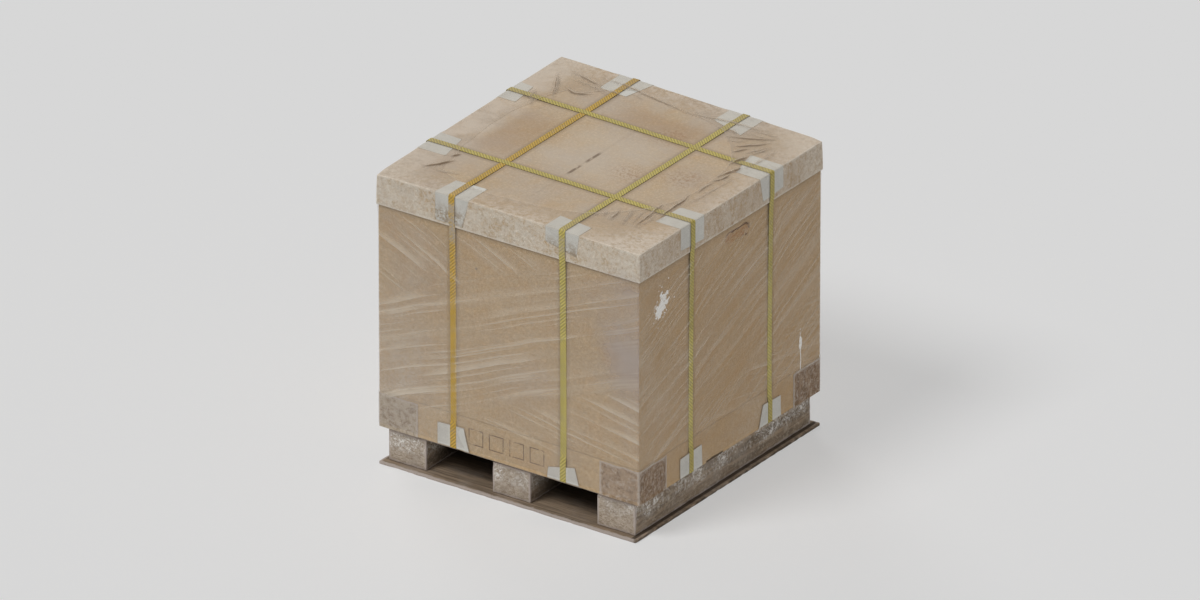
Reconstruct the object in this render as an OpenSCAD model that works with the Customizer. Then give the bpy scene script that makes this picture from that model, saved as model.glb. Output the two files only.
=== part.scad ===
// Shrink wrapped pallet load: a strapped and film-wrapped telescopic carton
// on a two-way wooden pallet.
// X runs across the pallet's three stringers, Y along them, Z up from the floor.
// The origin is the centre of the footprint, on the floor.

/* [Pallet] */
// Width of the bottom sheet, across the stringers
sheet_w = 1087; // [900:1:1300]
// Length of the bottom sheet, along the stringers
sheet_l = 1126; // [900:1:1400]
// Thickness of the bottom sheet
sheet_t = 12; // [6:1:25]
// Width of one stringer
stringer_w = 160; // [80:1:220]
// Height of the stringers
stringer_h = 118; // [80:1:150]
// How far the bottom sheet stands out past the outer stringers
sheet_margin_x = 22; // [0:1:60]
// How far the bottom sheet stands out past the stringers' ends
sheet_margin_y = 28; // [0:1:60]
// Thickness of the deck sheet
deck_t = 12; // [6:1:25]

/* [Carton] */
// Outside width of the carton body
carton_w = 1100; // [900:1:1300]
// Outside length of the carton body
carton_l = 1105; // [900:1:1400]
// Height of the carton with its lid on
carton_h = 970; // [500:1:1300]
// Thickness of the body's board
wall_t = 7; // [4:0.5:12]
// Thickness of the base, where its flaps lie two deep
base_t = 14; // [10:0.5:24]
// Thickness of the lid's board
lid_t = 4; // [3:0.5:8]
// Clearance between the lid's skirt and the body, each side
lid_clearance = 1; // [0.5:0.5:4]
// Depth of the lid's skirt
lid_skirt = 115; // [60:1:250]

/* [Packed goods] */
// Air around the packed goods, at the sides and above
goods_gap = 5; // [2:1:40]

/* [Straps] */
// Width of the strapping
strap_w = 25; // [12:1:40]
// Thickness of the strapping
strap_t = 1; // [0.6:0.1:2]
// Distance between the two lengthways straps
lengthways_pitch = 464; // [300:1:700]
// Distance between the two crossways straps
crossways_pitch = 480; // [300:1:700]

/* [Edge protectors] */
// Thickness of the protector board
protector_t = 3; // [1.5:0.5:5]
// Length of a top protector along the carton's edge
top_protector_w = 150; // [90:1:200]
// Reach of a top protector over the lid
top_protector_reach = 110; // [60:1:180]
// Drop of a top protector down the skirt
top_protector_drop = 95; // [40:1:110]
// Length of a bottom protector along the carton's edge
bottom_protector_w = 140; // [90:1:200]
// Rise of a bottom protector up the carton's side
bottom_protector_rise = 82; // [40:1:120]
// Reach of a bottom protector under the carton
bottom_protector_reach = 60; // [20:1:120]
// How much each slanted end of a protector's upright leg draws in
protector_taper = 16; // [0:1:30]

/* [Corner patches] */
// Length of a corner patch along each side of the carton
patch_w = 165; // [80:1:190]
// Height of a corner patch
patch_h = 130; // [60:1:250]
// Thickness of a corner patch
patch_t = 2; // [1:0.5:4]

/* [Film] */
// Thickness of the stretch film, all its turns together
film_t = 0.5; // [0.3:0.1:1]
// Clearance between the film and the straps under it
film_clearance = 0.3; // [0.2:0.1:1]
// Width of the film folded over the top, from each edge
film_fold = 150; // [40:1:220]
// Height of the film's lower edge above the carton's underside
film_rise = 14; // [0:1:100]

/* [Hidden] */

WOOD = [0.55, 0.50, 0.45];
BOARD = [0.66, 0.56, 0.45];
CAP = [0.70, 0.62, 0.53];
GOODS = [0.45, 0.42, 0.38];
GOLD = [0.80, 0.62, 0.18];
LIME = [0.72, 0.68, 0.30];
WHITE_BOARD = [0.80, 0.80, 0.76];
PATCH = [0.52, 0.46, 0.41];
FILM = [0.85, 0.84, 0.82, 0.35];

// Levels, from the floor up
stringer_z = sheet_t;
deck_z = stringer_z + stringer_h;
carton_z = deck_z + deck_t;
lid_top_z = carton_z + carton_h;

// The stringers carry the deck, and both share one footprint
stack_w = sheet_w - 2 * sheet_margin_x;
stack_l = sheet_l - 2 * sheet_margin_y;

// The lid caps the body and rests on its rim
lid_fit = lid_clearance + lid_t;
lid_w = carton_w + 2 * lid_fit;
lid_l = carton_l + 2 * lid_fit;
lid_bottom_z = lid_top_z - lid_skirt;
rim_z = lid_top_z - lid_t;

// Straps lie on the protectors, and a crossways strap passes over a lengthways one
strap_top_z = lid_top_z + protector_t;
crossing_top_z = strap_top_z + strap_t;

// Channels that the straps and protectors press into the carton's underside.
// Crossways straps run at the underside's level, lengthways ones just above them.
lengthways_base_z = carton_z + strap_t;
channel_side = 1;
cut = 1;

// The film passes over everything that stands out of the lid
film_gap = protector_t + strap_t + film_clearance;
film_in_w = lid_w + 2 * film_gap;
film_in_l = lid_l + 2 * film_gap;
film_in_top_z = crossing_top_z + strap_t + film_clearance;
film_bottom_z = carton_z + film_rise;

// A block centred on X and Y, standing at height z
module slab(w, l, h, z) {
    translate([-w / 2, -l / 2, z]) cube([w, l, h]);
}

// Lengthways parts are drawn crossways and turned: X is then across, Y along
module to_lengthways() {
    rotate([0, 0, 90]) children();
}

module bottom_sheet() {
    color(WOOD) slab(sheet_w, sheet_l, sheet_t, 0);
}

// side: -1 left, 0 centre, 1 right
module stringer(side) {
    color(WOOD)
        translate([side * (stack_w - stringer_w) / 2, 0, 0])
            slab(stringer_w, stack_l, stringer_h, stringer_z);
}

module deck_sheet() {
    color(WOOD) slab(stack_w, stack_l, deck_t, deck_z);
}

// Cuts in the carton's base for one direction's straps and protectors.
// half: half the body's size that way; base_z: the strap's lower face
module base_channels(half, pitch, base_z) {
    for (side = [-1, 1]) {
        translate([-half - cut, side * pitch / 2 - strap_w / 2 - channel_side, carton_z - cut])
            cube([2 * (half + cut), strap_w + 2 * channel_side, base_z + strap_t - carton_z + cut]);
        for (end = [-1, 1])
            translate([
                end * (half - bottom_protector_reach / 2 + cut / 2)
                    - (bottom_protector_reach + cut) / 2,
                side * pitch / 2 - bottom_protector_w / 2 - channel_side,
                carton_z - cut
            ])
                cube([
                    bottom_protector_reach + cut,
                    bottom_protector_w + 2 * channel_side,
                    base_z + strap_t + protector_t - carton_z + cut
                ]);
    }
}

module carton_body() {
    color(BOARD)
        difference() {
            slab(carton_w, carton_l, rim_z - carton_z, carton_z);
            slab(carton_w - 2 * wall_t, carton_l - 2 * wall_t, rim_z, carton_z + base_t);
            base_channels(carton_w / 2, crossways_pitch, carton_z);
            to_lengthways() base_channels(carton_l / 2, lengthways_pitch, lengthways_base_z);
        }
}

module carton_lid() {
    color(CAP)
        difference() {
            slab(lid_w, lid_l, lid_skirt, lid_bottom_z);
            slab(carton_w + 2 * lid_clearance, carton_l + 2 * lid_clearance,
                 lid_skirt - lid_t + cut, lid_bottom_z - cut);
        }
}

// Plain core in place of the hidden contents
module packed_goods() {
    floor_z = carton_z + base_t;
    color(GOODS)
        slab(carton_w - 2 * (wall_t + goods_gap), carton_l - 2 * (wall_t + goods_gap),
             rim_z - goods_gap - floor_z, floor_z);
}

// Outline of one strap's loop in the plane that it lies in. grow moves it out
// by the strap's thickness. half_top and half_base are where its inner face
// stands at the top and bottom protectors. The run over the lid rises at the
// crossings by step, from the inner ends of the top protectors.
module strap_outline(half_top, half_base, base_z, crossing, step, grow) {
    side = half_top + grow;
    foot = half_base + grow;
    low = base_z - grow;
    high = strap_top_z + grow;
    landing = half_top - protector_t - top_protector_reach;
    ramp_end = crossing + strap_w / 2;
    polygon([
        [-foot, low], [foot, low],
        [foot, base_z + bottom_protector_rise],
        [side, lid_top_z - top_protector_drop],
        [side, high],
        [landing, high], [ramp_end, high + step],
        [-ramp_end, high + step], [-landing, high],
        [-side, high],
        [-side, lid_top_z - top_protector_drop],
        [-foot, base_z + bottom_protector_rise]
    ]);
}

// One closed loop of strapping, lying in the XZ plane at y = place.
// base_z: the strap's lower face under the carton
module strap_loop(lid_half, body_half, place, base_z, crossing, step) {
    half_top = lid_half + protector_t;
    half_base = body_half + protector_t;
    translate([0, place + strap_w / 2, 0])
        rotate([90, 0, 0])
            linear_extrude(height = strap_w)
                difference() {
                    strap_outline(half_top, half_base, base_z + strap_t, crossing, step, strap_t);
                    strap_outline(half_top, half_base, base_z + strap_t, crossing, step, 0);
                }
}

module strap_crossways(side) {
    color(LIME)
        strap_loop(lid_w / 2, carton_w / 2, side * crossways_pitch / 2,
                   carton_z, lengthways_pitch / 2, strap_t);
}

module strap_lengthways(side, tint) {
    color(tint)
        to_lengthways()
            strap_loop(lid_l / 2, carton_l / 2, -side * lengthways_pitch / 2,
                       lengthways_base_z, crossways_pitch / 2, 0);
}

// Upright leg of a protector, standing in the YZ plane with its inner face at
// x = 0 and its bend at z = 0, drawn in towards its free end at height h
module tapered_leg(w, h) {
    rotate([90, 0, 90])
        linear_extrude(height = protector_t)
            polygon([
                [-w / 2, 0], [w / 2, 0],
                [w / 2 - protector_taper, h], [protector_taper - w / 2, h]
            ]);
}

// Protector bent over the lid's edge at x = half, centred on y = place
module top_protector(half, place) {
    color(WHITE_BOARD)
        translate([half, place, lid_top_z]) {
            translate([-top_protector_reach, -top_protector_w / 2, 0])
                cube([top_protector_reach + protector_t, top_protector_w, protector_t]);
            mirror([0, 0, 1]) tapered_leg(top_protector_w, top_protector_drop);
        }
}

// Protector bent under the carton's edge at x = half, its underleg at leg_z
module bottom_protector(half, place, leg_z) {
    color(WHITE_BOARD)
        translate([half, place, leg_z]) {
            translate([-bottom_protector_reach, -bottom_protector_w / 2, 0])
                cube([bottom_protector_reach + protector_t, bottom_protector_w, protector_t]);
            tapered_leg(bottom_protector_w, bottom_protector_rise);
        }
}

// Turns a protector drawn on the right-hand side to another side of the carton
module on_side(name) {
    turn = name == "right" ? 0 : name == "back" ? 90 : name == "left" ? 180 : 270;
    rotate([0, 0, turn]) children();
}

// way: -1 or 1, which of the two straps across that side it lies under, counted
// along +Y on the left and right sides and along +X on the front and back
module top_protector_on(name, way) {
    if (name == "left" || name == "right")
        on_side(name)
            top_protector(lid_w / 2, (name == "right" ? 1 : -1) * way * crossways_pitch / 2);
    else
        on_side(name)
            top_protector(lid_l / 2, (name == "front" ? 1 : -1) * way * lengthways_pitch / 2);
}

module bottom_protector_on(name, way) {
    if (name == "left" || name == "right")
        on_side(name)
            bottom_protector(carton_w / 2, (name == "right" ? 1 : -1) * way * crossways_pitch / 2,
                             carton_z + strap_t);
    else
        on_side(name)
            bottom_protector(carton_l / 2, (name == "front" ? 1 : -1) * way * lengthways_pitch / 2,
                             lengthways_base_z + strap_t);
}

// Board patch folded round a bottom corner; x_way and y_way are -1 or 1
module corner_patch(x_way, y_way) {
    color(PATCH)
        translate([x_way * (carton_w / 2 + patch_t), y_way * (carton_l / 2 + patch_t), carton_z])
            mirror([x_way > 0 ? 1 : 0, 0, 0])
                mirror([0, y_way > 0 ? 1 : 0, 0]) {
                    cube([patch_w + patch_t, patch_t, patch_h]);
                    cube([patch_t, patch_w + patch_t, patch_h]);
                }
}

module film_wrap() {
    color(FILM)
        difference() {
            slab(film_in_w + 2 * film_t, film_in_l + 2 * film_t,
                 film_in_top_z + film_t - film_bottom_z, film_bottom_z);
            slab(film_in_w, film_in_l, film_in_top_z - film_bottom_z + cut, film_bottom_z - cut);
            slab(film_in_w - 2 * film_fold, film_in_l - 2 * film_fold,
                 film_t + 2 * cut, film_in_top_z - cut);
        }
}

bottom_sheet();
stringer(-1);  // stringer_left
stringer(0);  // stringer_centre
stringer(1);  // stringer_right
deck_sheet();
carton_body();
carton_lid();
packed_goods();
strap_lengthways(-1, GOLD);  // strap_lengthways_left
strap_lengthways(1, LIME);  // strap_lengthways_right
strap_crossways(-1);  // strap_crossways_front
strap_crossways(1);  // strap_crossways_back
top_protector_on("front", -1);  // top_protector_front_left
top_protector_on("front", 1);  // top_protector_front_right
top_protector_on("back", -1);  // top_protector_back_left
top_protector_on("back", 1);  // top_protector_back_right
top_protector_on("left", -1);  // top_protector_left_front
top_protector_on("left", 1);  // top_protector_left_back
top_protector_on("right", -1);  // top_protector_right_front
top_protector_on("right", 1);  // top_protector_right_back
bottom_protector_on("front", -1);  // bottom_protector_front_left
bottom_protector_on("front", 1);  // bottom_protector_front_right
bottom_protector_on("back", -1);  // bottom_protector_back_left
bottom_protector_on("back", 1);  // bottom_protector_back_right
bottom_protector_on("left", -1);  // bottom_protector_left_front
bottom_protector_on("left", 1);  // bottom_protector_left_back
bottom_protector_on("right", -1);  // bottom_protector_right_front
bottom_protector_on("right", 1);  // bottom_protector_right_back
corner_patch(-1, -1);  // corner_patch_front_left
corner_patch(1, -1);  // corner_patch_front_right
corner_patch(-1, 1);  // corner_patch_back_left
corner_patch(1, 1);  // corner_patch_back_right
film_wrap();
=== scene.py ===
"""Shrink wrapped pallet load.

A strapped telescopic carton on a low wooden pallet, with board protectors under the
strapping and stretch film round its sides. Every size comes from the loaded frame or
from the settings below, in metres. Run as a script; the panel lists the same steps.
"""

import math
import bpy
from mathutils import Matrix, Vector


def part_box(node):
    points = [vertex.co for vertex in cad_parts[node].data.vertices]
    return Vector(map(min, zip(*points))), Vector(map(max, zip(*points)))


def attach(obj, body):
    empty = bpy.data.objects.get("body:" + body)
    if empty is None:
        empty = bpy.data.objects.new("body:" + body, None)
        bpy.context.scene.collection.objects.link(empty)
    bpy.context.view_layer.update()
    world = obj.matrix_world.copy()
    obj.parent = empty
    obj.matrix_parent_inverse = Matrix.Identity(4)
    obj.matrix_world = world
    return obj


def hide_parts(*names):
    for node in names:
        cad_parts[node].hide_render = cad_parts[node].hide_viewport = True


bl_info = {
    "name": "Pallet load",
    "version": (1, 0, 0),
    "blender": (4, 5, 0),
    "location": "View3D > Sidebar > Pallet load",
    "description": "Builds a strapped and film-wrapped carton on a wooden pallet",
    "category": "Object",
}

from contextlib import contextmanager
from functools import cached_property, reduce

import bmesh
import bpy
import numpy as np
from mathutils import Vector, noise

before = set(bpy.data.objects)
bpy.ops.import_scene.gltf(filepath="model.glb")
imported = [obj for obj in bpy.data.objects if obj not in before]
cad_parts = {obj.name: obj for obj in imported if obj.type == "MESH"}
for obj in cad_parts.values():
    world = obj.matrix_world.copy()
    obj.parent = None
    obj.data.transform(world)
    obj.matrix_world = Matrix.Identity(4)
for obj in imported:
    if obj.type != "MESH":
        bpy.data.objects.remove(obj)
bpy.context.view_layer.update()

MM = 0.001


def node_box(name):
    """A CAD node's lowest and highest corners, as arrays."""
    low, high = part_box(name)
    return np.array(low), np.array(high)


body_low, body_high = node_box("carton_body")
lid_low, lid_high = node_box("carton_lid")
film_low = node_box("film_wrap")[0]
deck_high = node_box("deck_sheet")[1]
protector_low, protector_high = node_box("top_protector_right_front")
foot_low, foot_high = node_box("bottom_protector_right_front")
patch_low, patch_high = node_box("corner_patch_front_right")

lid_half = lid_high[:2]
body_half = body_high[:2]
protector_t = protector_high[0] - lid_half[0]
protector_reach = lid_half[0] - protector_low[0]
protector_drop = lid_high[2] - protector_low[2]
protector_w = protector_high[1] - protector_low[1]
foot_rise = foot_high[2] - foot_low[2]
foot_reach = body_half[0] - foot_low[0]
foot_w = foot_high[1] - foot_low[1]
patch_t = patch_high[0] - body_half[0]
patch_w = patch_high[0] - patch_low[0] - patch_t

STRAPS = {
    "strap_lengthways_left": "y",
    "strap_lengthways_right": "y",
    "strap_crossways_front": "x",
    "strap_crossways_back": "x",
}


def strap_place(name):
    """The strap's middle, on the axis that it doesn't run along."""
    low, high = node_box(name)
    axis = 1 if STRAPS[name] == "x" else 0
    return (low[axis] + high[axis]) / 2


strap_size = node_box("strap_crossways_front")
strap_w = strap_size[1][1] - strap_size[0][1]
strap_t = strap_size[1][0] - lid_half[0] - protector_t
cross_places = [strap_place(n) for n in STRAPS if STRAPS[n] == "x"]
long_places = [strap_place(n) for n in STRAPS if STRAPS[n] == "y"]


def srgb(red, green, blue):
    """A colour picked on a screen, 0 to 255, as the linear numbers that shaders take."""
    parts = [c / 255 for c in (red, green, blue)]
    return tuple(c / 12.92 if c <= 0.04045 else ((c + 0.055) / 1.055) ** 2.4 for c in parts)


# ---------------------------------------------------------------- settings


class LoadSettings(bpy.types.PropertyGroup):
    """Sizes and colours that a user would change."""

    edge_radius: bpy.props.FloatProperty(
        name="Edge radius", description="Radius of the lid's folded edges", default=4 * MM,
        unit="LENGTH"
    )
    lid_dome: bpy.props.FloatProperty(
        name="Lid dome", description="How far the middle of the lid stands up", default=5 * MM,
        unit="LENGTH"
    )
    film_fold: bpy.props.FloatProperty(
        name="Film fold", description="Width of the film that is folded over the lid",
        default=120 * MM, unit="LENGTH"
    )
    film_haze: bpy.props.FloatProperty(
        name="Film haze", description="How milky the film is where it lies smooth", default=0.04,
        subtype="FACTOR", min=0.0, max=1.0
    )
    board_colour: bpy.props.FloatVectorProperty(
        name="Carton board", description="Colour of the carton's clean board",
        default=srgb(192, 168, 134), subtype="COLOR"
    )
    dust_colour: bpy.props.FloatVectorProperty(
        name="Dust", description="Colour of the dust and scuffs on the board",
        default=srgb(220, 212, 198), subtype="COLOR"
    )
    gold_colour: bpy.props.FloatVectorProperty(
        name="Gold strapping", description="Colour of the left lengthways strap",
        default=srgb(206, 166, 56), subtype="COLOR"
    )
    yellow_colour: bpy.props.FloatVectorProperty(
        name="Yellow strapping", description="Colour of the other straps", default=srgb(200, 184, 94),
        subtype="COLOR"
    )
    protector_colour: bpy.props.FloatVectorProperty(
        name="Edge protectors", description="Colour of the white-faced board",
        default=srgb(214, 212, 204), subtype="COLOR"
    )
    wood_colour: bpy.props.FloatVectorProperty(
        name="Pallet wood", description="Colour of the weathered pallet", default=srgb(160, 140, 118),
        subtype="COLOR"
    )


class StageSettings(bpy.types.PropertyGroup):
    """The camera's place and the light."""

    azimuth: bpy.props.FloatProperty(
        name="Azimuth", description="How far the camera stands round from the front",
        default=math.radians(34.95), subtype="ANGLE"
    )
    elevation: bpy.props.FloatProperty(
        name="Elevation", description="How far the camera stands above the horizon",
        default=math.radians(25.85), subtype="ANGLE"
    )
    distance: bpy.props.FloatProperty(
        name="Distance", description="From the camera to the middle of the load", default=66.6,
        unit="LENGTH"
    )
    view_width: bpy.props.FloatProperty(
        name="View width", description="Width of the frame at the load", default=4.1625, unit="LENGTH"
    )
    key_energy: bpy.props.FloatProperty(
        name="Key light", description="Strength of the sun from the front left", default=1.12
    )
    fill_energy: bpy.props.FloatProperty(
        name="Fill light",
        description="Strength of the broad light from above, which the floor doesn't take",
        default=1.3
    )
    sky_strength: bpy.props.FloatProperty(
        name="Sky", description="Strength of the even light from all round", default=0.12
    )


# ---------------------------------------------------------------- mesh helpers


def wobble(points, scale, seed=0):
    """Smooth noise from -1 to 1 at each point, its features about 1 / scale metres wide."""
    shift = Vector((seed * 17.3, seed * 7.9, seed * 3.1))
    return np.array([noise.noise(Vector(p) * scale + shift) for p in points])


def add_object(name, data):
    """A new object in the scene, at the origin."""
    made = bpy.data.objects.new(name, data)
    bpy.context.scene.collection.objects.link(made)
    return made


def make_piece(name, points, faces, edges=()):
    """A new object at the origin with this mesh."""
    mesh = bpy.data.meshes.new(name)
    mesh.from_pydata(np.asarray(points, float).tolist(), edges, [tuple(f) for f in faces])
    mesh.update()
    return add_object(name, mesh)


@contextmanager
def edited(piece):
    """The piece's mesh, open for editing."""
    work = bmesh.new()
    work.from_mesh(piece.data)
    yield work
    work.to_mesh(piece.data)
    work.free()


def smooth(piece, angle=40):
    """Smooth shading, with edges sharper than the angle kept crisp."""
    piece.data.polygons.foreach_set("use_smooth", [True] * len(piece.data.polygons))
    sharp = math.radians(angle)
    with edited(piece) as work:
        for edge in work.edges:
            edge.smooth = not (edge.is_manifold and edge.calc_face_angle(0.0) > sharp)


def face_outwards(piece):
    """Recalculates a closed mesh's normals."""
    with edited(piece) as work:
        bmesh.ops.recalc_face_normals(work, faces=work.faces)


def thicken(piece, thickness, offset=-1):
    """Gives a one-sided surface its thickness, and applies it. An offset of -1 is inwards."""
    solid = piece.modifiers.new("thickness", "SOLIDIFY")
    solid.thickness = thickness
    solid.offset = offset
    bake(piece)


def bake(piece):
    """Applies every modifier on the piece."""
    graph = bpy.context.evaluated_depsgraph_get()
    mesh = bpy.data.meshes.new_from_object(piece.evaluated_get(graph))
    piece.modifiers.clear()
    old = piece.data
    piece.data = mesh
    bpy.data.meshes.remove(old)
    mesh.name = piece.name


def store(piece, name, values):
    """Keeps one number for each point of the mesh, for the materials to read."""
    layer = piece.data.attributes.new(name, "FLOAT", "POINT")
    layer.data.foreach_set("value", np.asarray(values, np.float32))


def lines(low, high, step, extra=(), near=(1.5, 4, 8)):
    """Grid lines from low to high, close together near both ends."""
    close = [d * MM for d in near if d * MM < (high - low) / 2.5]
    inner_low = low + (close[-1] if close else 0)
    inner_high = high - (close[-1] if close else 0)
    count = max(1, round((inner_high - inner_low) / step))
    inside = np.linspace(inner_low, inner_high, count + 1).tolist()
    places = [low, high] + [low + d for d in close] + [high - d for d in close] + inside
    places += [e for e in extra if low < e < high]
    places = np.unique(np.round(places, 6))
    keep = np.append(True, np.diff(places) > 0.4 * MM)
    return places[keep]


def grid_faces(rows, cols):
    """Quads over a grid of points that are listed row by row."""
    starts = [r * cols + c for r in range(rows - 1) for c in range(cols - 1)]
    return [(a, a + 1, a + cols + 1, a + cols) for a in starts]


def box_grid(xs, ys, zs, open_side=None):
    """Points and outward quads over a box, on its grid lines. open_side is top or bottom."""
    index, points, faces = {}, [], []
    nx, ny, nz = len(xs) - 1, len(ys) - 1, len(zs) - 1

    def add(*corners):
        for i, j, k in corners:
            if (i, j, k) not in index:
                index[i, j, k] = len(points)
                points.append((xs[i], ys[j], zs[k]))
        faces.append([index[corner] for corner in corners])

    for i in range(nx):
        for j in range(ny):
            if open_side != "bottom":
                add((i, j, 0), (i, j + 1, 0), (i + 1, j + 1, 0), (i + 1, j, 0))
            if open_side != "top":
                add((i, j, nz), (i + 1, j, nz), (i + 1, j + 1, nz), (i, j + 1, nz))
        for k in range(nz):
            add((i, 0, k), (i + 1, 0, k), (i + 1, 0, k + 1), (i, 0, k + 1))
            add((i, ny, k), (i, ny, k + 1), (i + 1, ny, k + 1), (i + 1, ny, k))
    for j in range(ny):
        for k in range(nz):
            add((0, j, k), (0, j, k + 1), (0, j + 1, k + 1), (0, j + 1, k))
            add((nx, j, k), (nx, j + 1, k), (nx, j + 1, k + 1), (nx, j, k + 1))
    return np.array(points), faces


def bumps(points, scale, seed, depth):
    """Noise from 0 to depth at each point."""
    return (0.5 + 0.5 * wobble(points, scale, seed)) * depth


def rounded(points, low, high, radius):
    """Moves points on a box's surface to the same box with rounded edges; also their normals."""
    core = np.clip(points, np.array(low) + radius, np.array(high) - radius)
    out = points - core
    length = np.maximum(np.linalg.norm(out, axis=1, keepdims=True), 1e-9)
    normals = out / length
    return core + normals * radius, normals


def edge_distance(points, low, high):
    """How far each point on a box's surface lies from the box's nearest edge."""
    gaps = np.minimum(points - np.array(low), np.array(high) - points)
    return np.sort(gaps, axis=1)[:, 1]


def ramp_to(values, start, end):
    """0 at start and 1 at end, smoothly between."""
    share = np.clip((np.asarray(values, float) - start) / (end - start), 0, 1)
    return share * share * (3 - 2 * share)


# Places on the board: height of the body's score line, x of the lid's seam, the hand hole's
# middle (y, z) and half sizes, start and height of the printed squares, the paint splash's
# middle, the drip's y with its widest place and its ends, and the scraped lower edge's y
SCORE_Z = body_low[2] + 135 * MM
SEAM_X = -7 * MM
HAND_HOLE = (0.040, 0.949, 72 * MM, 20 * MM)
SQUARES_START, SQUARES_Z = 181 * MM, body_low[2] + 68 * MM
SPLASH_Y, SPLASH_Z = -0.415, 0.855
DRIP_Y, DRIP_BELLY, DRIP_LOW, DRIP_HIGH = 0.431, 0.375, 0.27, 0.432
SCRAPE_Y = -0.095
# Length of one repeat of the straps' slanting relief
RELIEF_PITCH = 13 * MM


# ---------------------------------------------------------------- the lid's own shape

CRUSH = {(-1, -1): 3 * MM, (1, -1): 3 * MM, (1, 1): 3.5 * MM, (-1, 1): 0.5 * MM}
CRUSH_REACH = 32 * MM


def lid_rise(x, y):
    """How far the lid's top stands above its nominal height: tilted up at the back left."""
    across = np.clip(x / lid_half[0], -1, 1)
    along = np.clip(y / lid_half[1], -1, 1)
    dome = bpy.context.scene.pallet_load.lid_dome
    tilt = (-9.5 * across + 6.5 * along - 4 * across * along) * MM
    rise = tilt + dome * (1 - across**2) * (1 - 0.5 * along)
    lowest = -5.5 * MM
    return lowest + np.logaddexp(0, (rise - lowest) / (2 * MM)) * 2 * MM


def settle(points):
    """Moves points on or near the lid as the worn lid has moved: domed, with crushed corners."""
    moved = np.array(points, float)
    x, y, z = moved.T
    share = np.clip((z - lid_low[2]) / (lid_high[2] - lid_low[2]), 0, 1.05)
    rise = lid_rise(x, y)
    pull = np.zeros_like(moved)
    for (side, end), depth in CRUSH.items():
        corner = np.array([side * lid_half[0], end * lid_half[1]])
        far = np.linalg.norm(moved[:, :2] - corner, axis=1)
        amount = depth * np.exp(-((far / CRUSH_REACH) ** 2)) * share**2
        rise = rise - amount
        pull[:, 0] -= side * amount * 0.8
        pull[:, 1] -= end * amount * 0.8
    pull[:, 2] = rise * share
    return moved + pull


# ---------------------------------------------------------------- material helpers


def sum_method(kind, swapped=False):
    """A method of Value that adds one math node."""

    def method(self, other=0.0):
        pair = (other, self) if swapped else (self, other)
        return self.shader.maths(kind, *pair)

    return method


class Value:
    """A node's output to reckon with: each sum adds a node to the output's own material."""

    __array_ufunc__ = None
    __add__, __radd__ = sum_method("ADD"), sum_method("ADD", swapped=True)
    __sub__, __rsub__ = sum_method("SUBTRACT"), sum_method("SUBTRACT", swapped=True)
    __mul__, __rmul__ = sum_method("MULTIPLY"), sum_method("MULTIPLY", swapped=True)
    __truediv__, __pow__, __abs__ = map(sum_method, ("DIVIDE", "POWER", "ABSOLUTE"))
    __gt__, __lt__ = sum_method("GREATER_THAN"), sum_method("LESS_THAN")

    def __init__(self, shader, socket):
        self.shader, self.socket = shader, socket

    def step(self, start, end, top=1.0):
        """0 at start and top at end, smoothly between."""
        inputs = {"Value": self, "From Min": start, "From Max": end, "To Max": top}
        return self.shader.node("MapRange", "Result", inputs, interpolation_type="SMOOTHSTEP")

    def near(self, at, half, soft):
        """1 within half of a number, fading over soft."""
        return 1.0 - abs(self - at).step(half, half + soft)


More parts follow.
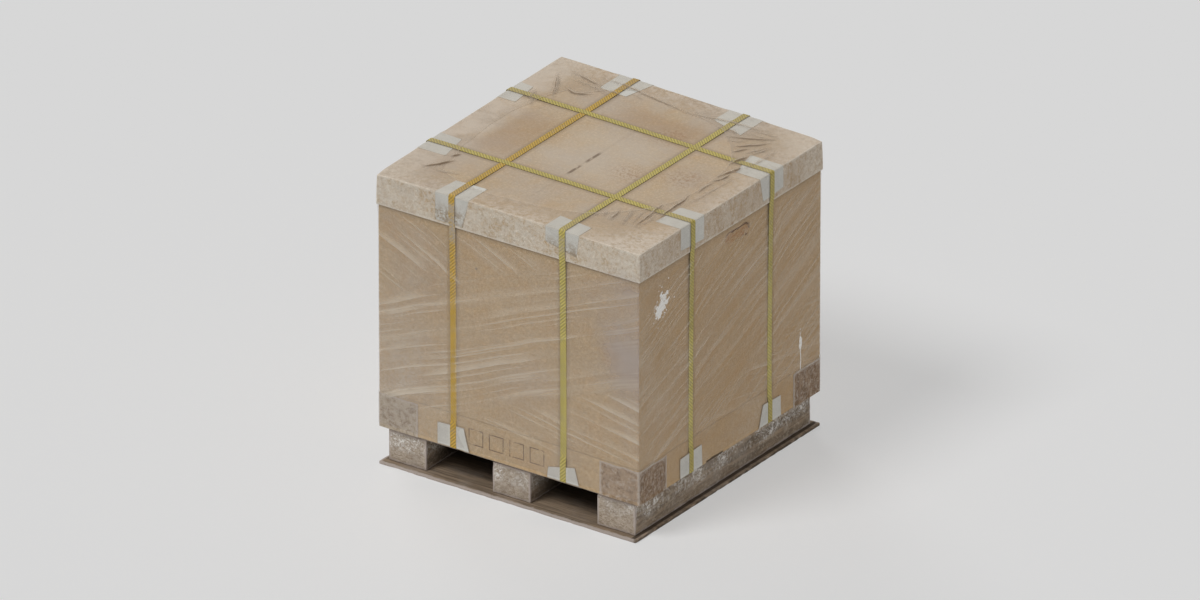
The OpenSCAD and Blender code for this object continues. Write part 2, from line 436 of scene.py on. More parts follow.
class Shader:
    """One node material, built a node at a time. Its tone is the colour laid so far."""

    def __init__(self, name):
        self.material = bpy.data.materials.new(name)
        self.material.use_nodes = True
        self.tree = self.material.node_tree
        self.surface = self.tree.nodes["Principled BSDF"]
        self.tone = None

    def put(self, socket, value):
        """Links a socket, or sets its value."""
        if isinstance(value, Value):
            self.tree.links.new(value.socket, socket)
        elif isinstance(value, tuple) and len(value) == 3 and len(socket.default_value) == 4:
            socket.default_value = (*value, 1.0)
        else:
            socket.default_value = value

    def node(self, kind, result, inputs=(), **choices):
        """A new node with these inputs and choices. Returns the output called result."""
        made = self.tree.nodes.new("ShaderNode" + kind)
        for name, choice in choices.items():
            setattr(made, name, choice)
        for name, value in dict(inputs).items():
            self.put(made.inputs[name], value)
        return Value(self, made.outputs[result])

    @cached_property
    def place(self):
        """Where the surface is, in metres."""
        return self.node("TexCoord", "Object")

    def attribute(self, name):
        """A number kept on the mesh."""
        return self.node("Attribute", "Fac", attribute_name=name)

    def split(self, vector=None):
        """The three parts of a vector, or of the surface's place."""
        first = self.node("SeparateXYZ", 0, {0: vector or self.place})
        return [Value(self, socket) for socket in first.socket.node.outputs]

    def join(self, *parts):
        """A vector from three parts."""
        return self.node("CombineXYZ", 0, enumerate(parts))

    def scaled(self, *scale, turn=0.0):
        """The surface's place, turned about Y and scaled."""
        inputs = {"Vector": self.place, "Scale": scale, "Rotation": (0, math.radians(turn), 0)}
        return self.node("Mapping", 0, inputs)

    def noise(self, scale, detail=3.0, rough=0.55, warp=0.0, at=None):
        """Cloudy noise about 0.5, over the surface's place or another vector."""
        inputs = {"Scale": scale, "Detail": detail, "Roughness": rough, "Distortion": warp}
        return self.node("TexNoise", "Fac", {"Vector": at or self.place, **inputs})

    def cells(self, scale):
        """Distance to the nearest of many scattered points."""
        return self.node("TexVoronoi", "Distance", {"Vector": self.place, "Scale": scale})

    def maths(self, kind, a, b=0.0):
        """One sum."""
        return self.node("Math", 0, enumerate((a, b, 0.0)), operation=kind)

    def most(self, *values):
        """The largest of several numbers."""
        return reduce(lambda a, b: self.maths("MAXIMUM", a, b), values)

    def mix(self, share, low, high):
        """One colour over another."""
        return self.node("Mix", 2, {0: share, 6: low, 7: high}, data_type="RGBA")

    def coat(self, share, colour):
        """Lays a colour over the tone."""
        self.tone = self.mix(share, self.tone, colour)

    def bump(self, height, strength, distance):
        """A normal from a height."""
        return self.node("Bump", 0, {"Strength": strength, "Distance": distance, "Height": height})

    def fibres(self, strength=0.25):
        """The fine relief of paper board, as a normal."""
        return self.bump(self.noise(420, 3, 0.6) * 0.4 + self.noise(34, 4, 0.6), strength, 0.6 * MM)

    def finish(self, roughness, normal=None, alpha=None, specular=0.3):
        """Sets the shader's own sockets and returns the material."""
        inputs = {"Base Color": self.tone, "Roughness": roughness, "Normal": normal, "Alpha": alpha}
        inputs["Specular IOR Level"] = specular
        for name, value in inputs.items():
            if value is not None:
                self.put(self.surface.inputs[name], value)
        return self.material


def toned(colour, factor):
    """A colour made lighter or darker."""
    return tuple(min(1.0, c * factor) for c in colour)


# ---------------------------------------------------------------- materials


def board_base(sh, board):
    """Kraft board: soft cloudy tones under fine warm, dark and pale freckles."""
    sh.tone = sh.mix(sh.noise(2.6, 4, 0.6).step(0.3, 0.7), toned(board, 0.94), toned(board, 1.04))
    warm = (board[0], board[1] * 0.84, board[2] * 0.6)
    sh.coat(sh.noise(6.5, 4, 0.7, 0.4).step(0.48, 0.68, 0.36), warm)
    sh.coat(sh.noise(19, 5, 0.78, 0.5).step(0.46, 0.66, 0.38), warm)
    sh.coat(sh.noise(120, 3, 0.75).step(0.5, 0.64, 0.5), toned(warm, 0.8))
    sh.coat(sh.noise(95, 3, 0.75, 0.5).step(0.57, 0.68, 0.35), toned(board, 0.6))
    sh.coat(sh.noise(108, 3, 0.75, 0.3).step(0.5, 0.64, 0.5), toned(board, 1.36))


def strap_shade(x, y):
    """Painted soft shade beside each strap, on the faces that it crosses."""
    spots = [(x, place) for place in long_places] + [(y, place) for place in cross_places]
    return [value.near(place, 12 * MM, 22 * MM) for value, place in spots]


def body_material(settings):
    """The carton body's kraft board: paint spots, painted shade beside the straps, plain printed
    squares.
    """
    sh = Shader("body_board")
    x, y, z = sh.split()
    board, dust = tuple(settings.board_colour), tuple(settings.dust_colour)
    board_base(sh, board)

    # the right side is browner than the front
    on_right = x > body_half[0] - 8 * MM
    sh.coat(on_right * 0.36, srgb(172, 136, 94))
    # painted shade beside the straps, on the faces that they cross
    front_back = abs(y).step(body_half[1] - 6 * MM, body_half[1] - 4 * MM)
    sides = abs(x).step(body_half[0] - 6 * MM, body_half[0] - 4 * MM)
    marks = strap_shade(x, y)
    shade_beside_straps = sh.most(front_back * sh.most(*marks[:2]), sides * sh.most(*marks[2:]))
    sh.coat(shade_beside_straps * 0.42, toned(board, 0.42))

    # painted shade along the score line above the base, and painted shade under the lid's skirt
    sh.coat(z.near(SCORE_Z, 1 * MM, 2.5 * MM) * 0.4, toned(board, 0.5))
    sh.coat(z.step(lid_low[2] - 26 * MM, lid_low[2]) * 0.5, toned(board, 0.5))

    # pale dust, thickest low on the left and in patches
    left_low = x.step(0.0, -0.5) * z.step(0.85, 0.35)
    cover = sh.noise(3.1, 5, 0.65, 0.3).step(0.52, 0.75, 0.35) + left_low * 0.3
    sh.coat(cover * (sh.noise(130, 3, 0.75).step(0.36, 0.62, 0.6) + 0.25), dust)

    # dark grey spots
    spots = (1.0 - sh.cells(11).step(0.03, 0.07)) * sh.noise(5, 1).step(0.55, 0.62)
    sh.coat(spots * 0.55, srgb(96, 96, 100))

    # four plain printed squares low on the front
    pitch, half = 86 * MM, 29 * MM
    count = (x + SQUARES_START) / pitch
    across = abs((sh.maths("FRACT", count) - 0.5) * pitch)
    outline = sh.most(across, abs(z - SQUARES_Z)).near(half, 1.5 * MM, 1.4 * MM)
    inside = (count > 0.0) * (count < 4.0)
    on_front = y < -body_half[1] + 8 * MM
    broken = sh.noise(26, 3, 0.7).step(0.34, 0.5)
    sh.coat(outline * inside * on_front * broken * 0.66, srgb(82, 56, 38))

    # the hand hole's torn brown outline
    hole_y, hole_z, hole_w, hole_h = HAND_HOLE
    run = sh.most(abs(y - hole_y) - (hole_w - hole_h), 0.0)
    rise = z - hole_z
    far = sh.maths("SQRT", run * run + rise * rise) + (sh.noise(48, 4, 0.7) - 0.5) * (22 * MM)
    broken = sh.noise(34, 3, 0.7).step(0.48, 0.6)
    shown = sh.most(rise.step(4 * MM, 14 * MM, 0.75), broken * 0.7)
    torn = far.near(hole_h, 2.2 * MM, 4 * MM) * on_right * shown
    flap = far.step(hole_h + 4 * MM, hole_h - 8 * MM) * on_right
    fibres = sh.noise(50, 5, 0.8, at=sh.scaled(1, 1, 2.4)).step(0.4, 0.58)
    sh.coat(flap * fibres * 0.8, srgb(168, 120, 72))
    sh.coat(torn, srgb(84, 56, 36))

    # white paint: a splash, its drops and a long drip, on the right side
    paint = on_right * sh.most(splash(sh, y, z), drip(sh, y, z))
    sh.coat(paint, srgb(250, 249, 246))

    # a torn dark scrape on the right side's lower edge
    ragged = z + sh.noise(30, 3) * (14 * MM)
    low = ragged.step(body_low[2] + 20 * MM, body_low[2] + 15 * MM)
    sh.coat(y.near(SCRAPE_Y, 45 * MM, 12 * MM) * low * on_right * 0.85, srgb(52, 42, 36))
    return sh.finish(sh.noise(6, 2).step(0.3, 0.7, 0.1) + 0.72, sh.fibres(), specular=0.25)


def splash(sh, y, z):
    """A paint splash with ragged arms, and small drops beside it."""
    across = y - SPLASH_Y
    lean = z - SPLASH_Z - across * 0.35
    far = sh.maths("SQRT", across * across + lean * lean)
    ragged, fine = sh.noise(42, 2, 0.5, 0.6) - 0.5, sh.noise(110, 2, 0.6) - 0.5
    edge = far + (ragged * (95 * MM) + fine * (34 * MM))
    drops = (1.0 - sh.cells(62).step(0.16, 0.22)) * (far < 88 * MM)
    return sh.most(1.0 - edge.step(34 * MM, 36 * MM), drops * sh.noise(21, 1).step(0.5, 0.54))


def drip(sh, y, z):
    """A thin drip of paint that swells near its middle."""
    far = abs(y - DRIP_Y + (sh.noise(22, 2) - 0.5) * (16 * MM))
    width = z.near(DRIP_BELLY, 6 * MM, 28 * MM) * (6.5 * MM) + 2.2 * MM
    gaps = sh.most(z < 0.4, sh.noise(150, 1).step(0.48, 0.5))
    return (far < width) * ((z > DRIP_LOW) * (z < DRIP_HIGH)) * gaps


def lid_material(settings):
    """The lid's board: dusty, scuffed white along its edges, with a stained middle seam."""
    sh = Shader("lid_board")
    x, y, z = sh.split()
    board, dust = tuple(settings.board_colour), tuple(settings.dust_colour)
    board_base(sh, board)
    edge = sh.attribute("edge")
    on_top = sh.attribute("top")
    skirt = 1.0 - on_top

    # a broad pale haze on the top, and fine dust and dirt on the skirt
    haze = sh.noise(3.4, 5, 0.6, 0.3).step(0.3, 0.7, 0.36) + 0.15
    sh.coat(on_top * haze, srgb(180, 174, 170))
    sh.coat(skirt * sh.noise(64, 6, 0.8, 0.6).step(0.38, 0.58, 0.75), dust)
    broad = sh.noise(9, 4, 0.65, 0.4)
    sh.coat(skirt * broad.step(0.35, 0.7, 0.45), dust)
    brown = sh.noise(105, 5, 0.72, 0.3).step(0.54, 0.66, 0.5)
    sh.coat(skirt * brown, toned(board, 0.62))
    # the skirt's right side is browner, with pale streaks
    on_right = (x > lid_half[0] - 8 * MM) * skirt
    sh.coat(on_right * 0.38, srgb(156, 120, 80))
    streaked = sh.noise(30, 5, 0.7, 0.4, at=sh.scaled(1, 1, 0.3)).step(0.44, 0.6)
    sh.coat(on_right * streaked * 0.26, toned(dust, 1.05))
    chips = sh.noise(120, 4, 0.7, 0.8).step(0.57, 0.62) * broad.step(0.38, 0.56) * skirt
    sh.coat(chips * 0.7, toned(dust, 1.22))
    kept = (edge + sh.noise(34, 6, 0.8) * (-62 * MM)).step(-30 * MM, -20 * MM)
    sh.coat((1.0 - kept) * 0.5, toned(dust, 1.04))
    worn = sh.noise(70, 6, 0.8, 0.4).step(0.4, 0.6)
    sh.coat(sh.attribute("corner").step(0.24, 0.02) * worn * 0.62, toned(dust, 1.08))
    rust = sh.noise(62, 5, 0.75, 0.5).step(0.56, 0.66)
    sh.coat(rust * edge.step(30 * MM, 8 * MM) * 0.6, srgb(158, 122, 84))

    # pale along the left edge and smooth over the back right corner
    left_edge = x.step(-0.38, -0.5) * broad.step(0.3, 0.6) * 0.7
    back_right, front_right = (x + y).step(0.84, 1.0, 0.5), (x - y).step(0.74, 1.0) * worn
    right_edge = x.step(0.47, 0.54) * worn * 0.6
    border = edge.step(0.15, 0.01) * sh.noise(38, 6, 0.8, 0.6).step(0.42, 0.6) * 0.62
    pale = sh.most(left_edge, back_right, front_right, right_edge, border)
    sh.coat(on_top * pale, srgb(222, 210, 195))

    # two browner places, a lighter middle, and rusty specks in three patches
    browner = sh.most(
        x.near(-0.33, 0.04, 0.08) * y.near(-0.03, 0.1, 0.12),
        x.near(0.05, 0.1, 0.14) * y.near(0.31, 0.03, 0.07)
    )
    sh.coat(browner * on_top * 0.3, srgb(158, 124, 92))
    middle = x.near(0.0, 0.12, 0.12) * y.near(0.0, 0.1, 0.14) * on_top
    sh.coat(middle * 0.3, srgb(206, 194, 178))
    specks = sh.noise(88, 6, 0.85, 0.3).step(0.47, 0.6)
    for spot_x, spot_y, width in ((0.17, -0.06, 0.08), (0.12, 0.26, 0.07), (0.34, 0.02, 0.08)):
        patch = x.near(spot_x, 0.0, width * 1.6) * y.near(spot_y, 0.0, width * 1.5)
        sh.coat(patch * specks * on_top * 0.6, srgb(140, 98, 66))

    # the faint seam between the lid's two flaps, with two dark stains on it
    seam = x.near(SEAM_X, 3 * MM, 6 * MM) * y.near(-0.085, 0.28, 0.06) * on_top
    stains = sh.most(y.near(-0.145, 24 * MM, 24 * MM), y.near(-0.03, 26 * MM, 30 * MM))
    blots = sh.noise(44, 3, 0.7, at=sh.scaled(1, 0.4, 1)).step(0.36, 0.52)
    sh.coat(seam * (stains * blots * 0.62 + 0.05), srgb(98, 78, 62))
    # painted shade beside the straps on the top
    sh.coat(on_top * sh.most(*strap_shade(x, y)) * 0.42, toned(board, 0.4))
    # a painted highlight along the skirt's lower edge
    sh.coat(z.step(lid_low[2] + 6 * MM, lid_low[2] + 1 * MM) * 0.35, dust)
    return sh.finish(0.82, sh.fibres(0.35), specular=0.2)


def goods_material(settings):
    """The hidden core: plain dark board."""
    sh = Shader("packed_goods")
    board_base(sh, toned(tuple(settings.board_colour), 0.7))
    return sh.finish(0.85, sh.fibres(), specular=0.2)


def strap_material(name, colour, veil_low, veil_share):
    """Polypropylene embossed aslant, with painted shade in the troughs of its relief, dusty at the
    front under the lid's edge.

    veil_low is the height that the dust reaches down to, and veil_share how thick it lies.
    """
    sh = Shader(name)
    x, y, z = sh.split()
    ends = abs(y) > body_half[1] + 1 * MM
    aslant = x + y + z * (1.0 - ends * 2.0)
    relief = sh.maths("SINE", aslant * (2 * math.pi / RELIEF_PITCH))
    sh.tone = sh.mix(sh.noise(28, 4, 0.7).step(0.38, 0.68), colour, toned(colour, 1.18))
    # painted shade in the troughs of the relief
    sh.coat(relief.step(0.2, -0.7, 0.8), toned(colour, 0.5))
    sh.coat(sh.noise(46, 4, 0.7).step(0.5, 0.72, 0.4), srgb(158, 142, 120))
    sh.coat(z.step(1.1, 1.112, 0.25), srgb(150, 134, 104))
    # painted shade on the strap where it runs down the unlit right side
    sh.coat((x > body_half[0] + 1 * MM) * 0.3, srgb(138, 118, 48))
    front = y < -body_half[1] + 4 * MM
    veil = z.step(veil_low, veil_low + 30 * MM) * z.step(1.1, 1.075) * front
    veil = veil * (0.35 + sh.noise(90, 5, 0.8).step(0.4, 0.58) * 0.65) * veil_share
    sh.coat(veil, srgb(178, 166, 150))
    return sh.finish(0.5, sh.bump(relief, 0.5, 0.35 * MM), specular=0.35)


def protector_material(settings):
    """White-faced solid board, greyed and scuffed, with brown ply showing at its cut edges."""
    sh = Shader("protector_board")
    white = tuple(settings.protector_colour)
    sh.tone = sh.mix(sh.noise(9, 4, 0.6).step(0.35, 0.7), toned(white, 0.9), white)
    sh.coat(sh.noise(44, 5, 0.7, 0.4).step(0.55, 0.75, 0.3), srgb(150, 140, 126))
    _, y, z = sh.split()
    low_half = z.step(1.095, 1.03) * z.step(0.95, 1.0) * (y < -body_half[1] + 4 * MM)
    dirt = sh.noise(52, 6, 0.8, 0.4).step(0.42, 0.56)
    sh.coat(low_half * dirt * 0.9, srgb(156, 138, 114))
    sh.coat(sh.attribute("edge").step(1.6 * MM, 0.2 * MM, 0.6), srgb(168, 148, 120))
    return sh.finish(0.7, sh.fibres(0.2), specular=0.25)


def patch_material():
    """Grey-brown board, its edges rubbed pale and its middle stained."""
    sh = Shader("patch_board")
    x = sh.split()[0]
    sh.tone = sh.mix(x.step(-0.2, 0.3), srgb(190, 176, 156), srgb(176, 152, 126))
    grain = sh.noise(60, 5, 0.75, 0.8, at=sh.scaled(1, 1, 0.25)).step(0.4, 0.6, 0.6)
    sh.coat((x > body_half[0] - 1 * MM) * (grain + 0.35), srgb(124, 98, 76))
    sh.coat(sh.noise(52, 6, 0.75, 0.5).step(0.44, 0.62, 0.7), srgb(124, 98, 70))
    sh.coat(sh.noise(84, 5, 0.75).step(0.5, 0.62, 0.5), srgb(204, 194, 182))
    sh.coat(sh.noise(16, 4, 0.6, 0.4).step(0.54, 0.72, 0.35), srgb(122, 104, 84))
    kept = (sh.attribute("edge") + sh.noise(75, 5, 0.75) * (-24 * MM)).step(-9 * MM, -2 * MM)
    sh.coat((1.0 - kept) * 0.7, srgb(200, 188, 176))
    return sh.finish(0.8, sh.fibres(0.4), specular=0.2)


def wood_material(name, settings, grain, chalk=0.0):
    """Weathered pallet wood. grain is the axis that the grain follows."""
    sh = Shader(name)
    x, y, z = sh.split()
    wood = tuple(settings.wood_colour)
    stretch = [42, 42, 42]
    stretch["xyz".index(grain)] = 2.6
    streaks = sh.noise(1.0, 6, 0.65, 0.8, at=sh.scaled(*stretch))
    fine = sh.noise(1.0, 4, 0.6, at=sh.scaled(*[s * 5 for s in stretch]))
    sh.tone = sh.mix(streaks.step(0.36, 0.64), toned(wood, 0.44), toned(wood, 1.05))
    sh.coat(fine.step(0.42, 0.62, 0.6), toned(wood, 0.5))

    if grain == "y":
        # sawn ends: felted fibres that lie aslant
        ends = abs(y).step(deck_high[1] - 4 * MM, deck_high[1] - 1 * MM)
        felt = sh.noise(1.0, 6, 0.75, 1.2, at=sh.scaled(70, 70, 210, turn=40)).step(0.36, 0.64)
        end_tone = sh.mix(felt, toned(wood, 0.74), srgb(206, 192, 176))
        patches = sh.noise(26, 5, 0.7, 0.5).step(0.48, 0.68, 0.6)
        sh.coat(ends, sh.mix(patches, end_tone, toned(wood, 0.8)))

    sh.coat(sh.noise(6, 5, 0.65, 0.3).step(0.45, 0.7, 0.5), srgb(158, 148, 138))
    if chalk:
        region = sh.noise(8, 3).step(0.42, 0.56)
        scrawl = sh.noise(46, 5, 0.75, 1.8).near(0.5, 0.012, 0.02) * region
        dots = sh.noise(52, 3, 0.6, 1.2).step(0.56, 0.59) * (region * 0.7 + 0.3)
        sh.coat(sh.noise(66, 5, 0.8, 0.6).step(0.5, 0.6, 0.55), srgb(184, 172, 154))
        sh.coat(sh.most(scrawl, dots) * z.step(0.045, 0.085) * chalk, srgb(238, 235, 230))

    if grain == "x":
        # painted shade on the ledge beside the deck, on the sheet's side faces and along its lowest
        # edge by the floor
        beside = x.near(deck_high[0] + 5 * MM, 5 * MM, 5 * MM)
        sh.coat(sh.most(beside, abs(x).step(0.5425, 0.5434)) * 0.8, srgb(52, 42, 34))
        sh.coat(z.step(6 * MM, 1.5 * MM) * 0.6, srgb(58, 48, 38))

    # painted shade: the openings darken deeper in
    inside = abs(y).step(deck_high[1] - 15 * MM, deck_high[1] - 190 * MM)
    inside = inside * abs(x).step(deck_high[0], deck_high[0] - 6 * MM)
    sh.coat(inside * 0.72, srgb(44, 36, 26))
    kept = (sh.attribute("edge") + sh.noise(30, 6, 0.75) * (-26 * MM)).step(-9 * MM, -3 * MM)
    rub = 1.0 - kept
    if grain == "x":
        rub = rub * x.step(0.54, 0.53)
    sh.coat(rub * 0.8, srgb(188, 176, 168))
    return sh.finish(0.85, sh.bump(streaks * 0.7 + fine * 0.5, 0.5, 1.2 * MM), specular=0.2)


def streaks(sh, across, along, face, numbers):
    """Film drawn tight into long straight pale lines, each with one crisp side.

    numbers are the lines' counts per metre, and how strongly each set shows.
    """
    parts = []
    for number, strength in numbers:
        here = sh.join(along * 0.4, across * (number * 0.22), face * 7.3 + number)
        drift = sh.noise(1.0, 2, 0.5, at=here) * 1.8
        saw = sh.maths("FRACT", across * number + drift)
        fold = saw ** 2.5 * saw.step(1.0, 0.94)
        there = sh.join(along * 1.5, across * (number * 0.5), face * 3.1)
        shown = sh.noise(1.0, 2, 0.5, at=there).step(0.42, 0.64)
        parts.append(fold * shown * strength)
    bundle = sh.join(along * 0.7, across * 15, face * 5.1)
    parts.append(sh.noise(1.0, 4, 0.6, at=bundle).step(0.45, 0.8, 0.5))
    return sh.most(*parts)


def film_material(settings):
    """Stretch film on the sides: clear, with bands of pale lines where it was drawn tight."""
    sh = Shader("stretch_film")
    u = sh.split(sh.node("UVMap", "UV"))[0]
    side = 2 * lid_half[0]
    face = sh.maths("FLOOR", u / side)
    s = sh.maths("FRACT", u / side) * side
    t = lid_high[2] - 11 * MM - sh.split()[2]

    # the lines fall at the top left, rise through the middle and fall again low on the right
    bend = (sh.noise(1.8, 2) - 0.5) * 0.045
    few, many = ((6, 0.5), (15, 0.8), (37, 0.65)), ((13, 0.45), (30, 0.85), (72, 1.0))
    rising = t + s * 0.4 + bend
    falling = t - s * 0.46 + bend
    gentle = t - s * 0.18 + bend
    upper = (rising - (0.46 - face.step(0.5, 0.6) * 0.22)).step(0.03, -0.05)
    lower = rising.step(0.92, 1.02)
    pale = sh.most(
        (1.0 - upper) * (1.0 - lower) * streaks(sh, rising, s, face, few),
        face.step(0.5, 0.6) * streaks(sh, rising + s * 0.12, s, face, many),
        upper * streaks(sh, falling, s, face, few), lower * streaks(sh, gentle, s, face, few)
    )
    below = t.step(0.1, 0.16)
    pale = pale * (0.25 + below * t.step(0.87, 0.8) * 0.75)
    cloud = sh.noise(3.2, 4, 0.6).step(0.4, 0.75)
    front = face.step(0.5, 0.4)
    milky = s.step(side - 0.24, side - 0.04) * t.step(0.04, 0.15) * front
    milky = milky * t.step(0.72, 0.34) * (0.6 + cloud * 0.5)
    alpha = settings.film_haze + pale * 0.4 + cloud * (0.05 + front * 0.09)
    alpha = alpha + front * below * 0.1 + milky * 0.22
    # the film is clearest where the straps pull it tight
    tight = abs(s - side / 2).near(0.2365, 12 * MM, 8 * MM)
    alpha = alpha * (1.0 - sh.most(tight * 0.6, t.step(0.79, 0.84, 0.12)))
    normal = sh.bump(pale + cloud * 0.3, 0.4, 0.8 * MM)
    sh.tone = sh.mix(pale.step(0.05, 0.4), srgb(198, 188, 181), srgb(236, 228, 214))
    sh.coat(milky * 0.8, srgb(196, 188, 188))
    return sh.finish(0.4, normal, alpha, specular=0.35)


def fold_material(settings):
    """Film folded over the lid: clear between its creases and pale along its free edge."""
    sh = Shader("film_fold")
    crease, rim = sh.attribute("crease"), sh.attribute("rim")
    fine = sh.noise(24, 4, 0.6, 0.6)
    alpha = settings.film_haze + crease.step(0.05, 0.9) * 0.74 + rim.step(5 * MM, 1.5 * MM, 0.22)
    alpha = alpha + (1.0 - crease.step(0.0, 0.02)) * 0.12 + fine.step(0.5, 0.75, 0.1)
    # painted shade on the dark side of each crease, from the shade attribute
    sh.tone = sh.mix(sh.attribute("shade").step(0.15, 0.95), srgb(204, 188, 168), srgb(132, 110, 86))
    return sh.finish(0.5, sh.bump(fine, 0.3, 0.8 * MM), alpha, specular=0.3)


def floor_material():
    """The plain pale floor, lit from below as well so that its shadows stay light."""
    sh = Shader("floor_paint")
    sh.surface.inputs["Emission Color"].default_value = (1, 1, 1, 1)
    sh.surface.inputs["Emission Strength"].default_value = 0.43
    sh.tone = (0.54, 0.54, 0.54)
    return sh.finish(0.9, specular=0.0)


# ---------------------------------------------------------------- pieces


def dress(piece, material, slot_name, *nodes, angle=40):
    """Shades a finished piece, gives it its material, and fixes it to the load."""
    smooth(piece, angle)
    piece.data.materials.clear()
    piece.data.materials.append(material)
    register_piece(piece, slot_name, *nodes)


def register_piece(piece, slot_name, *nodes):
    """Makes a finished piece ride on the load and stand for its CAD nodes."""
    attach(piece, "root")
    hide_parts(*nodes)


def timber(name, material, seed, radius=2.5 * MM, step=14 * MM):
    """One piece of pallet wood: rounded, chipped edges on the CAD node's box."""
    low, high = node_box(name)
    grids = [lines(a, b, step, near=(1, 3, 7, 13)) for a, b in zip(low, high)]
    flat, faces = box_grid(*grids)
    points, normals = rounded(flat, low, high, radius)
    edge = edge_distance(flat, low, high)
    chips = np.clip(wobble(flat, 38, seed) - 0.12, 0, 1) * 5 * MM
    chips *= np.exp(-edge / (5 * MM))
    ripple = bumps(flat, 9, seed + 1, 0.7 * MM)
    points = points - normals * (chips + ripple)[:, None]
    points[:, 2] = np.maximum(points[:, 2], low[2])
    piece = make_piece(name, points, faces)
    store(piece, "edge", edge)
    dress(piece, material, "pallet_wood", name)
    return piece


def base_recess(x, y):
    """How deep the straps and protectors are pressed into the carton's underside."""
    slack = 1 * MM
    depth = np.zeros_like(x)
    runs = ((x, y, long_places, body_half[1], 2 * strap_t), (y, x, cross_places, body_half[0], strap_t))
    for over, along, places, half, strap_depth in runs:
        for place in places:
            far = np.abs(over - place)
            depth = np.maximum(depth, np.where(far < strap_w / 2 + slack, strap_depth, 0))
            pocket = (far < foot_w / 2 + slack) & (np.abs(along) > half - foot_reach)
            depth = np.maximum(depth, np.where(pocket, strap_depth + protector_t, 0))
    return depth


def recess_lines(places, half):
    """Grid lines just inside and outside each recess."""
    slack, wall = 1 * MM, 0.6 * MM
    found = [s * (half - foot_reach + d) for s in (-1, 1) for d in (-wall, 0)]
    for place in places:
        for width in (strap_w, foot_w):
            edge = width / 2 + slack
            found += [place + s * (edge + d) for s in (-1, 1) for d in (-wall, 0.0)]
    return found


def hand_hole(y, z):
    """Relief of the punched hand-hole flap: its cut outline sinks, its upper lip stands out."""
    middle_y, middle_z, half_w, half_h = HAND_HOLE
    run = np.maximum(np.abs(y - middle_y) - (half_w - half_h), 0)
    far = np.hypot(run, z - middle_z)
    cut = np.exp(-(((far - half_h) / (2.2 * MM)) ** 2))
    inside = far < half_h
    tilt = np.where(inside, 2.2 * MM * (z - middle_z + half_h) / (2 * half_h), 0)
    return 1.2 * MM * cut * np.where(z > middle_z, 1.4, 0.4) + tilt


def body_dents(points):
    """How far the body's walls are pressed in, in metres; never outwards."""
    score = np.exp(-(((points[:, 2] - SCORE_Z) / (3 * MM)) ** 2)) * 1.2 * MM
    return bumps(points, 2.3, 3, 1.8 * MM) + bumps(points, 9, 4, 0.5 * MM) + score


def carton_body(settings):
    """The carton's body: board walls and base with dents, a score line and a hand hole."""
    low, high = body_low, body_high - np.array([0, 0, 7 * MM])
    hole_y, hole_z, hole_w, hole_h = HAND_HOLE
    near_hole_y = np.arange(hole_y - hole_w - 6 * MM, hole_y + hole_w + 6 * MM, 4 * MM)
    near_hole_z = np.arange(hole_z - hole_h - 6 * MM, hole_z + hole_h + 6 * MM, 2.5 * MM)
    score_z = SCORE_Z + np.array([-5, -2.5, 0, 2.5, 5]) * MM
    xs = lines(low[0], high[0], 18 * MM, recess_lines(long_places, body_half[0]))
    ys = lines(low[1], high[1], 18 * MM, [*recess_lines(cross_places, body_half[1]), *near_hole_y])
    zs = lines(low[2], high[2], 18 * MM, [*score_z, *near_hole_z])
    flat, faces = box_grid(xs, ys, zs, open_side="top")
    radius = 4 * MM
    points, normals = rounded(flat, low, high + [0, 0, radius], radius)
    inward = body_dents(flat)
    on_right = flat[:, 0] > high[0] - 1 * MM
    inward += np.where(on_right, hand_hole(flat[:, 1], flat[:, 2]), 0)
    level = np.abs(normals[:, 2]) > 0.5
    inward = np.where(level, 0, inward * ramp_to(flat[:, 2] - low[2], 0, 12 * MM))
    points = points - normals * inward[:, None]
    under = flat[:, 2] < low[2] + 0.1 * MM
    points[:, 2] += np.where(under, base_recess(flat[:, 0], flat[:, 1]), 0)
    piece = make_piece("carton_body", points, faces)
    thicken(piece, 7 * MM)
    dress(piece, body_material(settings), "body_board", "carton_body")


def carton_lid(settings):
    """The telescopic cap: folded edges, crushed corners, a seam and a slightly wavy skirt."""
    low, high = lid_low, lid_high
    seam = SEAM_X + np.array([-8, -4, -1.5, 0, 1.5, 4, 8]) * MM
    xs = lines(low[0], high[0], 10 * MM, seam)
    ys = lines(low[1], high[1], 10 * MM)
    zs = lines(low[2], high[2], 10 * MM)
    flat, faces = box_grid(xs, ys, zs, open_side="bottom")
    radius = settings.edge_radius
    points, normals = rounded(flat, low - [0, 0, radius], high, radius)
    edge = edge_distance(flat, low, high)
    top = normals[:, 2]
    dents = bumps(flat, 3.5, 8, 0.9 * MM) + bumps(flat, 13, 9, 0.5 * MM)
    groove = np.exp(-(((flat[:, 0] - SEAM_X) / (2.5 * MM)) ** 2)) * 0.4 * MM
    inward = np.where(top > 0.5, dents + groove, 0.3 * MM * (1 + wobble(flat, 6, 10)))
    points = points - normals * inward[:, None]
    piece = make_piece("carton_lid", settle(points), faces)
    store(piece, "edge", edge)
    store(piece, "top", (top > 0.5).astype(float))
    corners = np.abs(np.abs(flat[:, :2]) - lid_half)
    store(piece, "corner", np.hypot(corners[:, 0], corners[:, 1]))
    thicken(piece, 4 * MM)
    dress(piece, lid_material(settings), "lid_board", "carton_lid")


# ---------------------------------------------------------------- strapping


